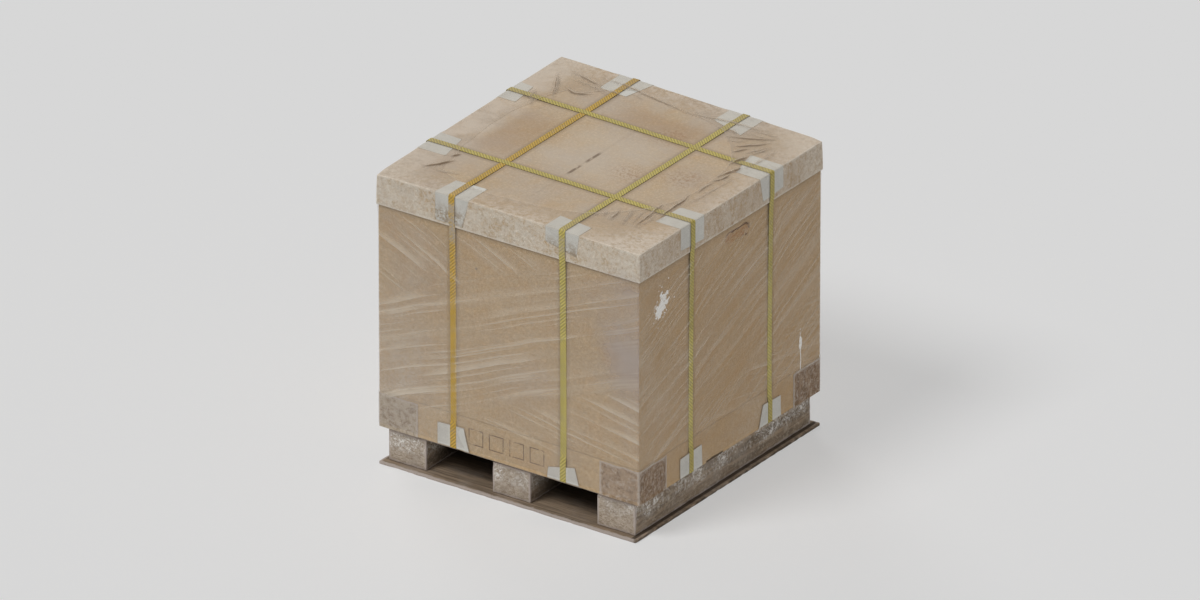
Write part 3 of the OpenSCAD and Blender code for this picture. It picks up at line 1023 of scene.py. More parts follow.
def strap_tree():
    """Geometry Nodes: a flat band swept along a loop of edges."""
    tree = bpy.data.node_groups.new("strap_band", "GeometryNodeTree")
    names = {}
    for name, kind in (
        ("Loop", "Geometry"), ("Width", "Float"), ("Thickness", "Float"), ("Material", "Material"),
    ):
        made = tree.interface.new_socket(name, in_out="INPUT", socket_type="NodeSocket" + kind)
        names[name] = made.identifier
    tree.interface.new_socket("Band", in_out="OUTPUT", socket_type="NodeSocketGeometry")
    given, result = tree.nodes.new("NodeGroupInput"), tree.nodes.new("NodeGroupOutput")
    curve, profile, sweep, real, painted = (
        tree.nodes.new("GeometryNode" + kind) for kind in (
            "MeshToCurve", "CurvePrimitiveQuadrilateral", "CurveToMesh", "RealizeInstances",
            "SetMaterial",
        )
    )
    for source, output, target, entry in (
        (given, "Loop", curve, "Mesh"),
        (given, "Width", profile, "Width"),
        (given, "Thickness", profile, "Height"),
        (curve, "Curve", sweep, "Curve"),
        (profile, "Curve", sweep, "Profile Curve"),
        (sweep, "Mesh", real, "Geometry"),
        (real, "Geometry", painted, "Geometry"),
        (given, "Material", painted, "Material"),
        (painted, "Geometry", result, "Band"),
    ):
        tree.links.new(source.outputs[output], target.inputs[entry])
    return tree, names


def strap_route(half_top, half_foot, base_z, others, over):
    """Middle line of one strap's loop, as (along, height) pairs, anticlockwise from below.

    It is taut between the protectors at the lower and upper edges, and lies down on the
    lid between them; over is how much it rises where it crosses the other straps.
    """
    lid_z = lid_high[2]
    bend = 8 * MM
    foot, top = half_foot + strap_t / 2, half_top + strap_t / 2
    low_z = base_z + strap_t / 2
    high_z = lid_z + protector_t + strap_t / 2

    def arc(centre, start):
        steps = np.radians(np.linspace(start, start + 90, 6))
        return [(centre[0] + bend * math.cos(a), centre[1] + bend * math.sin(a)) for a in steps]

    def lying(a):
        past = np.maximum(0, half_top - protector_t - protector_reach - np.abs(a))
        rest = strap_t / 2 + 0.5 * MM
        height = rest + (protector_t - 0.5 * MM) * math.exp(-past / (45 * MM))
        for other in others:
            height += over * math.exp(-(((a - other) / (16 * MM)) ** 2))
        return lid_z + height

    right = [(foot, base_z + foot_rise), (top, lid_z - protector_drop)]
    reach = top - bend
    count = int(2 * reach / (12 * MM))
    roof = [(a, lying(a)) for a in np.linspace(reach, -reach, count)[1:-1]]
    base = [(a, low_z) for a in np.linspace(-foot + bend, foot - bend, 12)[1:-1]]
    route = base + arc((foot - bend, low_z + bend), -90)
    rises = [
        (low[0] * (1 - f) + high[0] * f - 6 * MM * math.sin(math.pi * f) ** 0.2,
         low[1] * (1 - f) + high[1] * f)
        for low, high in zip(right, right[1:]) for f in np.linspace(0, 1, 30)
    ]
    route += rises
    route += arc((top - bend, high_z - bend), 0) + roof + arc((-top + bend, high_z - bend), 90)
    route += [(-out, up) for out, up in reversed(rises)]
    route += arc((-foot + bend, low_z + bend), 180)
    return np.array(route)


def make_strap(name, material, tree, names):
    """One loop of strapping, swept along its route by the strap tree."""
    runs_x = STRAPS[name] == "x"
    half = 0 if runs_x else 1
    base_z = node_box(name)[0][2]
    others = long_places if runs_x else cross_places
    over = strap_t + 0.4 * MM if runs_x else 0.0
    route = strap_route(
        lid_half[half] + protector_t, body_half[half] + protector_t, base_z, others, over
    )
    place = np.full(len(route), strap_place(name))
    columns = (route[:, 0], place) if runs_x else (place, route[:, 0])
    points = settle(np.stack([*columns, route[:, 1]], axis=1))
    count = len(points)
    piece = make_piece(name, points, [], [(i, (i + 1) % count) for i in range(count)])
    band = piece.modifiers.new("band", "NODES")
    band.node_group = tree
    band[names["Width"]] = float(strap_w)
    band[names["Thickness"]] = float(strap_t)
    band[names["Material"]] = material
    bake(piece)
    face_outwards(piece)
    return piece


# ---------------------------------------------------------------- edge protectors

# Each top protector's outline, in millimetres: how far its two ends reach over the lid, at its
# left and right sides, how far its leg drops at left and right, how much narrower the leg's
# left and right sides are at its lower end, and the same for the flap on the lid at its inner
# end. Left and right as seen from outside.
TOP_SHAPES = {
    "front_left": (107, 112, 104, 106, 0, 26, 12, 0),
    "front_right": (90, 75, 60, 88, 0, 12, 0, 0),
    "right_front": (105, 97, 88, 95, 0, 2, 0, 0),
    "right_back": (100, 137, 97, 86, 20, 0, 0, 0),
    "back_left": (132, 127, 92, 100, 10, 4, 26, 0),
    "back_right": (142, 99, 88, 80, 0, 14, 0, 0),
    "left_front": (93, 120, 90, 76, 4, 12, 6, 0),
    "left_back": (60, 77, 94, 88, 16, 0, 8, 0),
}
# Each bottom protector's: how high its leg rises at left and right, and how much narrower
# the leg's left and right sides are at its upper end.
FOOT_SHAPES = {
    "front_left": (82, 86, 0, 22),
    "front_right": (40, 66, 4, 18),
    "right_front": (76, 82, 0, 4),
    "right_back": (82, 78, 24, 2),
    "back_left": (78, 84, 14, 8),
    "back_right": (86, 74, 4, 20),
    "left_front": (80, 70, 18, 4),
    "left_back": (72, 84, 2, 16),
}


def bent_board(name, width, over, leg, taper, place, seed, buckle=0.0):
    """A board strip bent round an edge.

    over and leg are (left, right) lengths of its two flaps. taper is the draw-in of the leg's
    two sides and then of the other flap's. place(across, run, lift) turns strip positions into
    points: run is below 0 on the flap over the edge and above 0 down the leg.
    """
    columns = np.linspace(0, 1, 17)
    ends, bend = np.linspace(0.06, 1, 12), np.linspace(-0.04, 0.04, 7)
    shares = np.concatenate([np.linspace(-1, -0.06, 12), bend, ends])
    points, edges = [], []
    for share in shares:
        for c in columns:
            length = over if share < 0 else leg
            whole = length[0] * (1 - c) + length[1] * c
            drawn, pulled = max(share, 0), max(-share, 0)
            left = -width / 2 + taper[0] * drawn + taper[2] * pulled
            right = width / 2 - taper[1] * drawn - taper[3] * pulled
            points.append((left * (1 - c) + right * c, share * whole))
            edges.append(min(min(c, 1 - c) * (right - left), (1 - abs(share)) * whole))
    across, run = np.array(points).T
    samples = np.stack([across, run, np.full(len(across), seed)], axis=1)
    lift = bumps(samples, 14, seed, 0.8 * MM)
    lift += buckle * np.clip(wobble(samples, 26, seed + 5), 0, 1) * ramp_to(across, 0, width / 3)
    piece = make_piece(name, place(across, run, lift), grid_faces(len(shares), len(columns)))
    store(piece, "edge", edges)
    thicken(piece, protector_t * 0.8, offset=1)
    face_outwards(piece)
    return piece


def bent(run, radius):
    """A bend's turn, and the lengths left over on its two flaps, at each place along a strip."""
    quarter = radius * math.pi / 2
    turn = np.clip((run + quarter / 2) / quarter, 0, 1) * math.pi / 2
    return turn, np.maximum(-run - quarter / 2, 0), np.maximum(run - quarter / 2, 0)


def turned(side, across, out):
    """Puts positions drawn for the right side on another side: out is away from the load."""
    if side == "right":
        return out, across
    if side == "back":
        return -across, out
    if side == "left":
        return -out, -across
    return across, -out


def side_half(side, halves):
    """The carton's half size towards a side."""
    return halves[0] if side in ("left", "right") else halves[1]


def strap_at(side, end):
    """Where the strap under a protector crosses its side, in the side's own across."""
    if side in ("left", "right"):
        place = strap_place(f"strap_crossways_{end}")
        return place if side == "right" else -place
    place = strap_place(f"strap_lengthways_{end}")
    return place if side == "front" else -place


def top_protector(side, end, material, seed):
    """A protector bent over the lid's edge, following the lid's worn shape."""
    name = f"top_protector_{side}_{end}"
    shape = [v * MM for v in TOP_SHAPES[f"{side}_{end}"]]
    half = side_half(side, lid_half)
    radius = bpy.context.scene.pallet_load.edge_radius + 0.3 * MM
    middle = strap_at(side, end)

    def place(across, run, lift):
        turn, flat_in, drop = bent(run, radius)
        reach = radius + lift
        out = half - radius + np.sin(turn) * reach - flat_in
        up = lid_high[2] - radius + np.cos(turn) * reach - drop
        x, y = turned(side, across + middle, out)
        return settle(np.stack([x, y, up], axis=1))

    piece = bent_board(name, protector_w - 8 * MM, shape[:2], shape[2:4], shape[4:], place, seed)
    dress(piece, material, "protector_board", name, angle=50)


def bottom_protector(side, end, material, seed):
    """A protector bent under the carton's lower edge, some of them buckled."""
    name = f"bottom_protector_{side}_{end}"
    shape = [v * MM for v in FOOT_SHAPES[f"{side}_{end}"]]
    half = side_half(side, body_half)
    radius = 4 * MM
    middle = strap_at(side, end)
    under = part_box(name)[0][2] + protector_t

    def place(across, run, lift):
        turn, flat_in, rise = bent(run, radius)
        reach = radius + np.where(run > 0, lift, 0)
        out = half - radius + np.sin(turn) * reach - flat_in
        down = under + radius - np.cos(turn) * reach + rise
        x, y = turned(side, across + middle, out)
        return np.stack([x, y, down], axis=1)

    buckle = 3 * MM if (side, end) == ("front", "left") else 0.6 * MM
    over = (foot_reach - 6 * MM,) * 2
    taper = (*shape[2:], 0, 0)
    piece = bent_board(name, foot_w - 6 * MM, over, shape[:2], taper, place, seed, buckle)
    dress(piece, material, "protector_board", name, angle=50)


def corner_patch(x_way, y_way, name, material, seed):
    """Board folded round a bottom corner of the carton, from its underside up."""
    low_z, high_z = patch_low[2], patch_high[2]
    radius = 4.3 * MM
    flap, bend = np.linspace(0.05, 1, 16), np.linspace(-0.03, 0.03, 7)
    runs = np.concatenate([-flap[::-1], bend, flap]) * patch_w
    ups = np.linspace(0, 1, 15)
    run, up = (g.ravel() for g in np.meshgrid(runs, ups))
    samples = np.stack([run, up * 0.13, np.full(len(run), seed)], axis=1)
    ragged = wobble(samples, 30, seed) * 3 * MM * (up > 0.9)
    turn, first, second = bent(run, radius)
    reach = radius + 0.3 * MM + bumps(samples, 18, seed, 0.8 * MM)
    out_x = body_half[0] - radius + np.sin(turn) * reach - first
    out_y = body_half[1] - radius + np.cos(turn) * reach - second
    tall = high_z - low_z
    points = np.stack([x_way * out_x, y_way * out_y, low_z + tall * up + ragged], axis=1)
    piece = make_piece(name, points, grid_faces(len(ups), len(runs)))
    sides = [patch_w - np.abs(run), np.abs(run) + 2 * MM]
    store(piece, "edge", np.minimum.reduce([*sides, (1 - up) * tall, up * tall + 8 * MM]))
    thicken(piece, patch_t * 0.6, offset=1 if x_way * y_way > 0 else -1)
    face_outwards(piece)
    dress(piece, material, "patch_board", name, angle=50)


# ---------------------------------------------------------------- film

# Creases in the film on the lid: points (x, y) in millimetres, half width and height
CREASES = [
    # front left corner
    ([(-458, -424), (-430, -400), (-400, -355), (-383, -322)], 10, 8),
    ([(-416, -312), (-404, -290), (-394, -268)], 8, 7),
    ([(-425, -412), (-370, -419), (-300, -404)], 6, 3),
    # back left corner
    ([(-484, 444), (-450, 385), (-420, 335), (-400, 290), (-389, 260)], 8, 6),
    ([(-400, 362), (-372, 350), (-350, 341), (-325, 351), (-290, 372)], 8, 6),
    ([(-447, 228), (-432, 203), (-420, 178)], 6, 4),
    ([(-452, 474), (-400, 464), (-345, 449), (-290, 440)], 7, 5),
    ([(-420, 432), (-340, 420), (-290, 412), (-245, 398)], 7, 3),
    ([(-478, 290), (-460, 250), (-452, 215)], 7, 3),
    # along the back
    ([(-330, 494), (-235, 489), (-180, 482), (-120, 472), (-50, 462), (0, 454), (58, 444)], 6, 5),
    ([(40, 446), (110, 456), (160, 465), (240, 475), (300, 482), (395, 492)], 6, 4),
    ([(-256, 424), (-208, 419)], 6, 5),
    ([(-185, 456), (-118, 439)], 5, 3),
    ([(250, 424), (292, 414)], 6, 5),
    # back right corner
    ([(268, 374), (330, 404), (380, 430), (428, 456)], 8, 6),
    ([(290, 350), (325, 372), (352, 392)], 6, 3),
    ([(334, 324), (370, 362), (400, 392), (428, 424)], 8, 6),
    ([(354, 288), (372, 318), (388, 348)], 8, 6),
    ([(300, 438), (360, 445), (420, 452)], 6, 3),
    ([(300, 466), (360, 474), (430, 478)], 6, 3),
    ([(398, 300), (414, 340), (436, 392)], 7, 4),
    ([(421, 304), (432, 345), (450, 402)], 7, 4),
    ([(474, 390), (476, 300), (468, 200)], 7, 3),
    ([(424, 300), (418, 262), (406, 222), (398, 198)], 9, 8),
    ([(446, 208), (450, 182), (436, 142), (424, 96)], 9, 8),
    ([(452, 136), (446, 92), (430, 56)], 8, 6),
    # along the right side
    ([(441, 60), (434, 10), (440, -48)], 9, 5),
    ([(424, -66), (435, -120), (441, -180), (446, -250), (450, -306)], 8, 7),
    ([(394, -178), (400, -220), (406, -280), (411, -340), (417, -396)], 8, 6),
    ([(482, 140), (472, 0), (466, -160)], 6, 3),
    ([(424, -260), (430, -330), (428, -390)], 7, 3),
    # front right corner
    ([(334, -276), (350, -320), (364, -368), (378, -410)], 8, 5),
    ([(300, -308), (310, -350), (317, -400)], 8, 5),
    ([(268, -338), (284, -384)], 7, 4),
    ([(372, -262), (384, -320), (396, -380)], 7, 3),
    ([(252, -372), (262, -400)], 6, 3),
]

# The folded film's free edge on the lid, in millimetres, anticlockwise from the front
FREE_EDGE = [
    (-170, -470), (-60, -462), (50, -450), (150, -430), (235, -392), (290, -334), (335, -286),
    (380, -240), (396, -190), (420, -130), (428, -60), (425, 50), (414, 150), (390, 230),
    (350, 292), (300, 350), (240, 402), (150, 436), (50, 444), (-60, 462), (-180, 482),
    (-270, 420), (-330, 352), (-380, 346), (-404, 296), (-424, 200), (-440, 140), (-446, 40),
    (-443, -60), (-432, -150), (-430, -210), (-408, -270), (-400, -335), (-385, -400),
    (-300, -444),
]


def smooth_route(route, step):
    """A broken line as points about a step apart on a smooth curve through its corners."""
    ends = [2 * route[0] - route[1], *route, 2 * route[-1] - route[-2]]
    found = []
    for a, b, c, d in zip(ends, ends[1:], ends[2:], ends[3:]):
        count = max(2, int(np.linalg.norm(c - b) / step))
        for f in np.arange(count) / count:
            found.append(
                b + 0.5 * f * (c - a)
                + f * f * (a - 2.5 * b + 2 * c - 0.5 * d)
                + f**3 * (-0.5 * a + 1.5 * b - 1.5 * c + 0.5 * d)
            )
    return np.array([*found, route[-1]])


def crease_strip(route, half, tall, seed):
    """One crease: a ridge of film with painted shade in the hollow beside it, fading out all round.

    Returns its points, its faces, how solid each point is and how shaded.
    """
    middle = smooth_route([np.array(p) * MM for p in route], 4 * MM)
    count = len(middle)
    share = np.linspace(0, 1, count)
    ways = np.gradient(middle, axis=0)
    ways /= np.linalg.norm(ways, axis=1, keepdims=True)
    sides = np.column_stack([ways[:, 1], -ways[:, 0]])
    if sides.mean(axis=0) @ (0.3, -1) < 0:
        sides = -sides
    flat = np.column_stack([middle, np.full(count, seed)])
    middle = middle + sides * (wobble(flat, 30, seed) * 2.5 * MM)[:, None]
    taper = np.sin(np.pi * np.clip(share, 0.02, 0.98)) ** 0.6
    size = taper * (0.75 + 0.35 * wobble(flat, 45, seed + 1))
    across = np.linspace(-1.9, 1.9, 20)
    points, solid, shaded = [], [], []
    for d in across:
        at = middle + sides * (d * half * MM * (0.5 + 0.5 * taper))[:, None]
        ridge = math.exp(-((d / 0.45) ** 2)) + 0.35 * math.exp(-(((d + 1.0) / 0.4) ** 2))
        rest = top_rests(at[:, 0], at[:, 1]) + 0.5 * MM
        points.append(np.column_stack([at, lid_high[2] + rest + ridge * tall * MM * size]))
        solid.append(size * min(1.0, 0.4 + tall / 12) * math.exp(-((abs(d) / 1.05) ** 3)))
        # painted shade along one flank of the crease, deeper for taller creases
        dark = min(1.0, tall / 7)
        shaded.append(np.full(count, dark * math.exp(-(((d - 0.5) / 0.36) ** 2))))
    faces = [(a, d, c, b) for a, b, c, d in grid_faces(len(across), count)]
    return np.concatenate(points), faces, np.concatenate(solid), np.concatenate(shaded)


def crease_mesh():
    """All the creases as one mesh, facing up."""
    points, faces, solid, shaded = [], [], [], []
    total = 0
    for seed, (route, half, tall) in enumerate(CREASES, 200):
        strip, quads, weights, shades = crease_strip(route, half, tall, seed)
        first, second, third = (strip[i] for i in quads[0][:3])
        up = np.cross(second - first, third - first)[2] > 0
        faces += [tuple(total + i for i in (q if up else q[::-1])) for q in quads]
        points.append(strip)
        solid.append(weights)
        shaded.append(shades)
        total += len(strip)
    piece = make_piece("film_creases", settle(np.concatenate(points)), faces)
    store(piece, "crease", np.concatenate(solid))
    store(piece, "shade", np.concatenate(shaded))
    store(piece, "rim", np.full(total, 1.0))
    store(piece, "fold", np.full(total, 1.0))
    return piece


def add_mesh(piece, other):
    """Adds another object's mesh to a piece, and removes the other object."""
    with edited(piece) as work:
        work.from_mesh(other.data)
    old = other.data
    bpy.data.objects.remove(other)
    bpy.data.meshes.remove(old)


def film_columns():
    """Stations round the load: place on the lid's plan, and length so far."""
    places, lengths = [], []
    total = 0.0
    for side in ("front", "right", "back", "left"):
        half = lid_half[0] if side in ("front", "back") else lid_half[1]
        out = side_half(side, lid_half)
        ends = ("left", "right") if side in ("front", "back") else ("front", "back")
        extra = [
            strap_at(side, end) + way * far * MM
            for end in ends for far in (13.5, 16, 75, 80) for way in (-1, 1)
        ]
        for across in lines(-half, half, 12 * MM, extra)[:-1]:
            places.append(turned(side, across, out))
            lengths.append(total + across + half)
        total += 2 * half
    return np.array(places), np.array([*lengths, total])


def tent(rests, gaps_down, gaps_along, slope=0.14):
    """Film pulled tight over what it covers: it falls away from each high spot at slope."""
    film = rests.copy()
    for _ in range(16):
        film[1:] = np.maximum(film[1:], film[:-1] - slope * gaps_down[:, None])
        film[:-1] = np.maximum(film[:-1], film[1:] - slope * gaps_down[:, None])
        right = np.roll(film, -1, axis=1) - slope * gaps_along
        left = np.roll(film, 1, axis=1) - slope * np.roll(gaps_along, 1)
        film = np.maximum(film, np.maximum(right, left))
    return film


FOLD_DRAWN = 120 * MM


def free_edge(places, fold):
    """Where the film's free edge lies, on the way in from each place to the lid's middle."""
    edge = np.array(FREE_EDGE) * MM
    turns = np.arctan2(edge[:, 1], edge[:, 0])
    order = np.argsort(turns)
    ways = np.arctan2(places[:, 1], places[:, 0])
    reach = np.interp(ways, turns[order], np.linalg.norm(edge, axis=1)[order], period=2 * np.pi)
    reach = reach + FOLD_DRAWN - fold
    return np.column_stack([np.cos(ways), np.sin(ways)]) * reach[:, None]


def raised(rest, where, height):
    """The rest, raised to a height where something stands."""
    return np.where(where, np.maximum(rest, height), rest)


def film_rests(places, z):
    """How far out from the lid's plan the things under the film reach, at one height."""
    gap = 0.6 * MM
    step_in = body_half[0] - lid_half[0]
    rest = np.full(len(places), gap if z >= lid_low[2] - 1 * MM else step_in + gap)
    foot_z, drop_z = body_low[2] + foot_rise + 3 * MM, lid_high[2] - protector_drop
    share = np.clip((z - foot_z) / (drop_z - foot_z), 0, 1)
    strap_out = protector_t + strap_t + step_in * (1 - share) + gap
    x, y = places.T
    for across, along, half, spots in (
        (x, y, lid_half[1], long_places), (y, x, lid_half[0], cross_places),
    ):
        on_side = np.abs(along) > half - 1 * MM
        for spot in spots:
            far = np.abs(across - spot)
            rest = raised(rest, on_side & (far < strap_w / 2 + 3 * MM), strap_out)
            wide = on_side & (far < protector_w / 2 + 5 * MM)
            if z > drop_z - 14 * MM:
                rest = raised(rest, wide, protector_t + gap)
            if z < foot_z + 8 * MM:
                rest = raised(rest, wide, step_in + protector_t + gap)
    if z < patch_high[2] + 5 * MM:
        near, far = np.sort(np.abs(np.abs(places) - lid_half), axis=1).T
        corner = (near < 1 * MM) & (far < patch_w + 12 * MM)
        rest = raised(rest, corner, step_in + patch_t + gap)
    return rest


def top_rests(x, y):
    """How far above the lid the protectors and straps under the folded film reach."""
    gap = 0.6 * MM
    rest = np.full(len(x), gap)
    for across, along, half, spots in (
        (x, y, lid_half[1], long_places), (y, x, lid_half[0], cross_places),
    ):
        inward = half - np.abs(along)
        for spot in spots:
            far = np.abs(across - spot)
            on_board = (far < protector_w / 2 + 3 * MM) & (inward < protector_reach + 34 * MM)
            rest = raised(rest, on_board, protector_t + gap)
            rest = raised(rest, far < strap_w / 2 + 3 * MM, strap_t + protector_t + gap)
    return rest


def film_wrap(settings):
    """The film: one sheet round the sides, turned over the lid's edge to a ragged free edge."""
    places, lengths = film_columns()
    radius = 8 * MM
    half = np.array(lid_half)
    core = np.clip(places, -half + radius, half - radius)
    ways = (places - core) / np.linalg.norm(places - core, axis=1, keepdims=True)
    plan = core + ways * radius
    low_z, edge_z = film_low[2], lid_high[2] - radius
    zs = lines(low_z, edge_z, 14 * MM, [lid_low[2] + d * MM for d in (-24, -12, -3, 0, 4)])
    inner = free_edge(places, settings.film_fold)

    # rows of points up the sides, round the edge and in over the lid
    bends, shares = np.radians([25, 50, 75]), np.linspace(0, 1, 22)
    inward = [core * (1 - share) + inner * share for share in shares]
    rests = [film_rests(places, z) for z in [*zs, *[lid_high[2]] * len(bends)]]
    rests += [top_rests(*at.T) for at in inward]
    fold_step = settings.film_fold / 21
    down = np.array([*np.diff(zs), *([5 * MM] * 4), *([fold_step] * 21)])
    film = tent(np.array(rests), down, np.diff(lengths))

    rows = []
    for z, out_by in zip(zs, film):
        rows.append((plan + ways * out_by[:, None], z))
    for turn, out_by in zip(bends, film[len(zs):]):
        reach = radius + out_by
        rows.append((core + ways * (reach * math.cos(turn))[:, None], edge_z + reach * math.sin(turn)))
    for at, out_by in zip(inward, film[len(zs) + len(bends):]):
        rows.append((at, lid_high[2] + out_by))
    cols = len(places)
    points = np.concatenate([np.column_stack([at, np.zeros(cols) + z]) for at, z in rows])
    tops = np.repeat([*[-1.0] * (len(zs) + len(bends)), *shares], cols)
    heights = [*zs, *(edge_z + radius * np.sin(bends))]
    heights += [lid_high[2] + s * settings.film_fold for s in shares]
    faces, uvs = [], []
    for r in range(len(rows) - 1):
        for c in range(cols):
            n = (c + 1) % cols
            faces.append((r * cols + c, r * cols + n, (r + 1) * cols + n, (r + 1) * cols + c))
            for column, row in ((c, r), (c + 1, r), (c + 1, r + 1), (c, r + 1)):
                uvs.append((lengths[column], heights[row]))
    piece = make_piece("film_wrap", points, faces)
    layer = piece.data.uv_layers.new(name="flat")
    layer.data.foreach_set("uv", np.array(uvs, np.float32).ravel())
    store(piece, "rim", (1 - tops) * settings.film_fold)
    store(piece, "fold", np.where(tops >= 0, 1.0, 0.0))
    refine_fold(piece, cols * (len(zs) + 2))
    settle_film(piece)
    add_mesh(piece, crease_mesh())
    smooth(piece, 80)
    piece.data.materials.clear()
    piece.data.materials.append(film_material(settings))
    piece.data.materials.append(fold_material(settings))
    level = node_box("carton_lid")[1][2] - 4 * MM
    middles = np.array([p.center[2] for p in piece.data.polygons])
    kinds = np.array([p.normal[2] for p in piece.data.polygons])
    choice = ((kinds > 0.6) & (middles > level - 30 * MM)).astype(int)
    piece.data.polygons.foreach_set("material_index", choice.tolist())
    register_piece(piece, "stretch_film", "film_wrap")
    return piece


def refine_fold(piece, first):
    """Halves the mesh's cells on the lid, where the creases need them."""
    with edited(piece) as work:
        work.verts.ensure_lookup_table()
        chosen = [e for e in work.edges if min(v.index for v in e.verts) >= first]
        bmesh.ops.subdivide_edges(work, edges=chosen, cuts=1, use_grid_fill=True)


def settle_film(piece):
    """Ripples the fold a little, then moves the film with the worn lid under it."""
    mesh = piece.data
    count = len(mesh.vertices)
    points = np.empty(count * 3)
    mesh.vertices.foreach_get("co", points)
    points = points.reshape(-1, 3)
    fold = np.empty(count, np.float32)
    mesh.attributes["fold"].data.foreach_get("value", fold)
    points[:, 2] += fold * 0.4 * MM * (1 + wobble(points, 16, 31))
    store(piece, "crease", np.zeros(count))
    store(piece, "shade", np.zeros(count))
    mesh.vertices.foreach_set("co", settle(points).ravel())
    mesh.update()


# ---------------------------------------------------------------- operators


class PALLETLOAD_OT_stage(bpy.types.Operator):
    """Make the floor, the light and the camera"""

    bl_idname = "pallet_load.stage"
    bl_label = "Stage"

    def execute(self, context):
        stage = context.scene.pallet_load_stage
        floor = make_floor()
        make_light(stage, floor)
        make_camera(context, stage)
        return {"FINISHED"}


def make_floor():
    """A wide pale floor, level with the load's underside."""
    size = 45.0
    corners = [(-size, -size, 0), (size, -size, 0), (size, size, 0), (-size, size, 0)]
    floor = make_piece("floor", corners, [(0, 1, 2, 3)])
    floor.data.materials.append(floor_material())
    return floor


def make_sun(name, energy, width, shines, spared=None):
    """One soft sun; width is its angle. It doesn't light the spared object."""
    data = bpy.data.lights.new(name, "SUN")
    data.energy = energy
    data.angle = math.radians(width)
    lamp = add_object(name, data)
    lamp.rotation_mode = "QUATERNION"
    lamp.rotation_quaternion = Vector(shines).to_track_quat("-Z", "Y")
    if spared:
        receivers = bpy.data.collections.new(name + "_receivers")
        receivers.objects.link(spared)
        lamp.light_linking.receiver_collection = receivers
        receivers.collection_objects[0].light_linking.link_state = "EXCLUDE"


def make_light(stage, floor):
    """A dim even sky, a key light from the front left, a fill from above and a back light."""
    world = bpy.data.worlds.new("studio")
    world.use_nodes = True
    back = world.node_tree.nodes["Background"]
    back.inputs["Color"].default_value = (1, 1, 1, 1)
    back.inputs["Strength"].default_value = stage.sky_strength
    bpy.context.scene.world = world
    make_sun("key", stage.key_energy, 21, (0.245, 0.57, -0.79))
    make_sun("fill", stage.fill_energy, 120, (-0.22, 0.06, -1.0), spared=floor)
    make_sun("back", 0.40, 24, (0.70, -0.50, -0.46))
    bpy.context.scene.view_settings.view_transform = "Standard"


def make_camera(context, stage):
    """A long lens that looks down on the load from its front right corner."""
    data = bpy.data.cameras.new("camera")
    data.sensor_width = 36
    data.lens = 36 * stage.distance / stage.view_width
    data.clip_end = 300
    camera = add_object("camera", data)
    a, e = stage.azimuth, stage.elevation
    back = Vector((math.sin(a) * math.cos(e), -math.cos(a) * math.cos(e), math.sin(e)))
    target = Vector((0, 0, 0.5594))
    camera.location = target + back * stage.distance
    camera.rotation_mode = "QUATERNION"
    camera.rotation_quaternion = (-back).to_track_quat("-Z", "Y")
    context.scene.camera = camera


class PALLETLOAD_OT_pallet(bpy.types.Operator):
    """Make the pallet: bottom sheet, three stringers and deck"""

    bl_idname = "pallet_load.pallet"
    bl_label = "Pallet"

    def execute(self, context):
        settings = context.scene.pallet_load
        sheet = wood_material("sheet_wood", settings, "x")
        timber("bottom_sheet", sheet, 1)
        timber("deck_sheet", sheet, 2)
        block = wood_material("stringer_wood", settings, "y", chalk=0.8)
        for seed, name in enumerate(("stringer_left", "stringer_centre", "stringer_right"), 3):
            timber(name, block, seed)
        return {"FINISHED"}


class PALLETLOAD_OT_carton(bpy.types.Operator):
    """Make the carton: its body, its lid and the finish of the goods inside"""

    bl_idname = "pallet_load.carton"
    bl_label = "Carton"

    def execute(self, context):
        settings = context.scene.pallet_load
        carton_body(settings)
        carton_lid(settings)
        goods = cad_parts["packed_goods"]
        if not goods.material_slots:
            goods.data.materials.append(None)
        goods.material_slots[0].link = "OBJECT"
        goods.material_slots[0].material = goods_material(settings)
        return {"FINISHED"}


class PALLETLOAD_OT_protectors(bpy.types.Operator):
    """Make the edge protectors at the lid and at the carton's lower edges"""

    bl_idname = "pallet_load.protectors"
    bl_label = "Edge protectors"

    def execute(self, context):
        material = protector_material(context.scene.pallet_load)
        for seed, key in enumerate(TOP_SHAPES):
            side, end = key.split("_")
            top_protector(side, end, material, seed + 40)
            bottom_protector(side, end, material, seed + 60)
        return {"FINISHED"}


class PALLETLOAD_OT_patches(bpy.types.Operator):
    """Make the board patches round the carton's bottom corners"""

    bl_idname = "pallet_load.patches"
    bl_label = "Corner patches"

    def execute(self, context):
        material = patch_material()
        corners = (
            {"front_left": (-1, -1), "front_right": (1, -1), "back_left": (-1, 1), "back_right": (1, 1)}
        )
        for seed, (end, (x_way, y_way)) in enumerate(corners.items(), 80):
            corner_patch(x_way, y_way, f"corner_patch_{end}", material, seed)
        return {"FINISHED"}


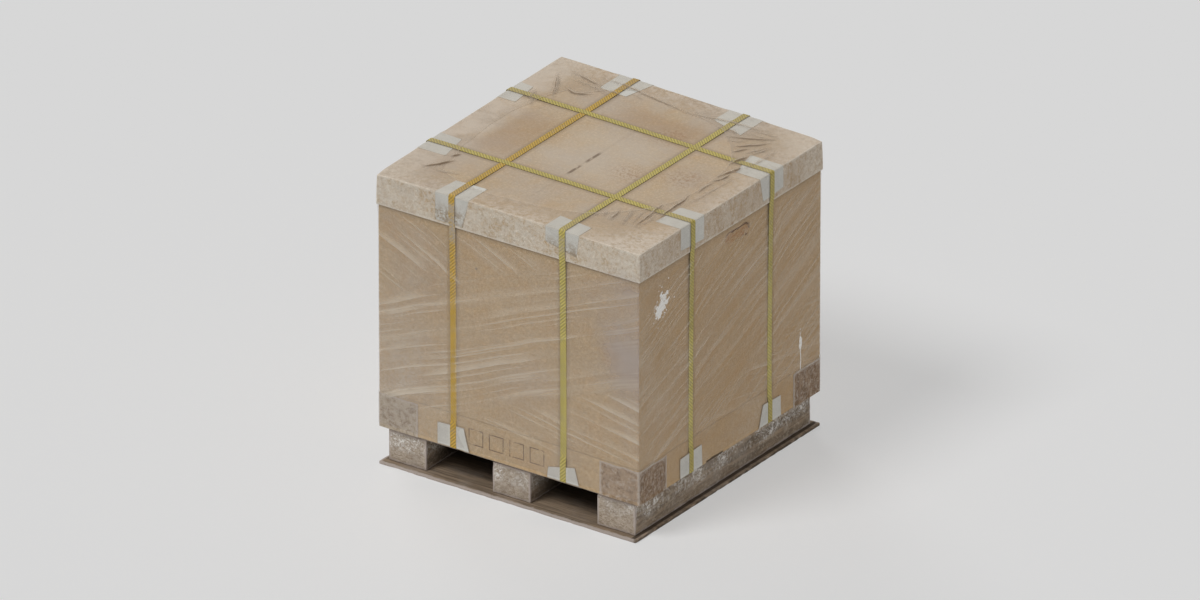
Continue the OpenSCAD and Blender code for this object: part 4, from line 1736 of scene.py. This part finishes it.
class PALLETLOAD_OT_straps(bpy.types.Operator):
    """Make the four loops of strapping"""

    bl_idname = "pallet_load.straps"
    bl_label = "Strapping"

    def execute(self, context):
        settings = context.scene.pallet_load
        gold = strap_material("gold_strapping", tuple(settings.gold_colour), 0.92, 0.95)
        yellow = strap_material("yellow_strapping", tuple(settings.yellow_colour), 1.0, 0.55)
        tree, names = strap_tree()
        for name in STRAPS:
            is_gold = name == "strap_lengthways_left"
            paint = gold if is_gold else yellow
            piece = make_strap(name, paint, tree, names)
            dress(piece, paint, "gold_strapping" if is_gold else "yellow_strapping", name)
        bpy.data.node_groups.remove(tree)
        return {"FINISHED"}


class PALLETLOAD_OT_film(bpy.types.Operator):
    """Make the stretch film round the sides"""

    bl_idname = "pallet_load.film"
    bl_label = "Stretch film"

    def execute(self, context):
        settings = context.scene.pallet_load
        piece = film_wrap(settings)
        return {"FINISHED"}


STEPS = (
    PALLETLOAD_OT_stage,
    PALLETLOAD_OT_pallet,
    PALLETLOAD_OT_carton,
    PALLETLOAD_OT_protectors,
    PALLETLOAD_OT_patches,
    PALLETLOAD_OT_straps,
    PALLETLOAD_OT_film,
)


class PALLETLOAD_PT_panel(bpy.types.Panel):
    """Sidebar panel that lists the settings and the steps"""

    bl_idname = "PALLETLOAD_PT_panel"
    bl_label = "Pallet load"
    bl_space_type = "VIEW_3D"
    bl_region_type = "UI"
    bl_category = "Pallet load"

    def draw(self, context):
        for group in (context.scene.pallet_load, context.scene.pallet_load_stage):
            for name in group.__annotations__:
                self.layout.prop(group, name)
        for step in STEPS:
            self.layout.operator(step.bl_idname)


CLASSES = (LoadSettings, StageSettings, *STEPS, PALLETLOAD_PT_panel)


def register():
    """Registers the classes and the scene's settings."""
    for item in CLASSES:
        bpy.utils.register_class(item)
    bpy.types.Scene.pallet_load = bpy.props.PointerProperty(type=LoadSettings)
    bpy.types.Scene.pallet_load_stage = bpy.props.PointerProperty(type=StageSettings)


def unregister():
    """Removes what register added."""
    del bpy.types.Scene.pallet_load_stage
    del bpy.types.Scene.pallet_load
    for item in reversed(CLASSES):
        bpy.utils.unregister_class(item)


def main():
    """Runs every step in order."""
    register()
    bpy.ops.pallet_load.stage()
    bpy.ops.pallet_load.pallet()
    bpy.ops.pallet_load.carton()
    bpy.ops.pallet_load.protectors()
    bpy.ops.pallet_load.patches()
    bpy.ops.pallet_load.straps()
    bpy.ops.pallet_load.film()


if __name__ == "__main__":
    main()
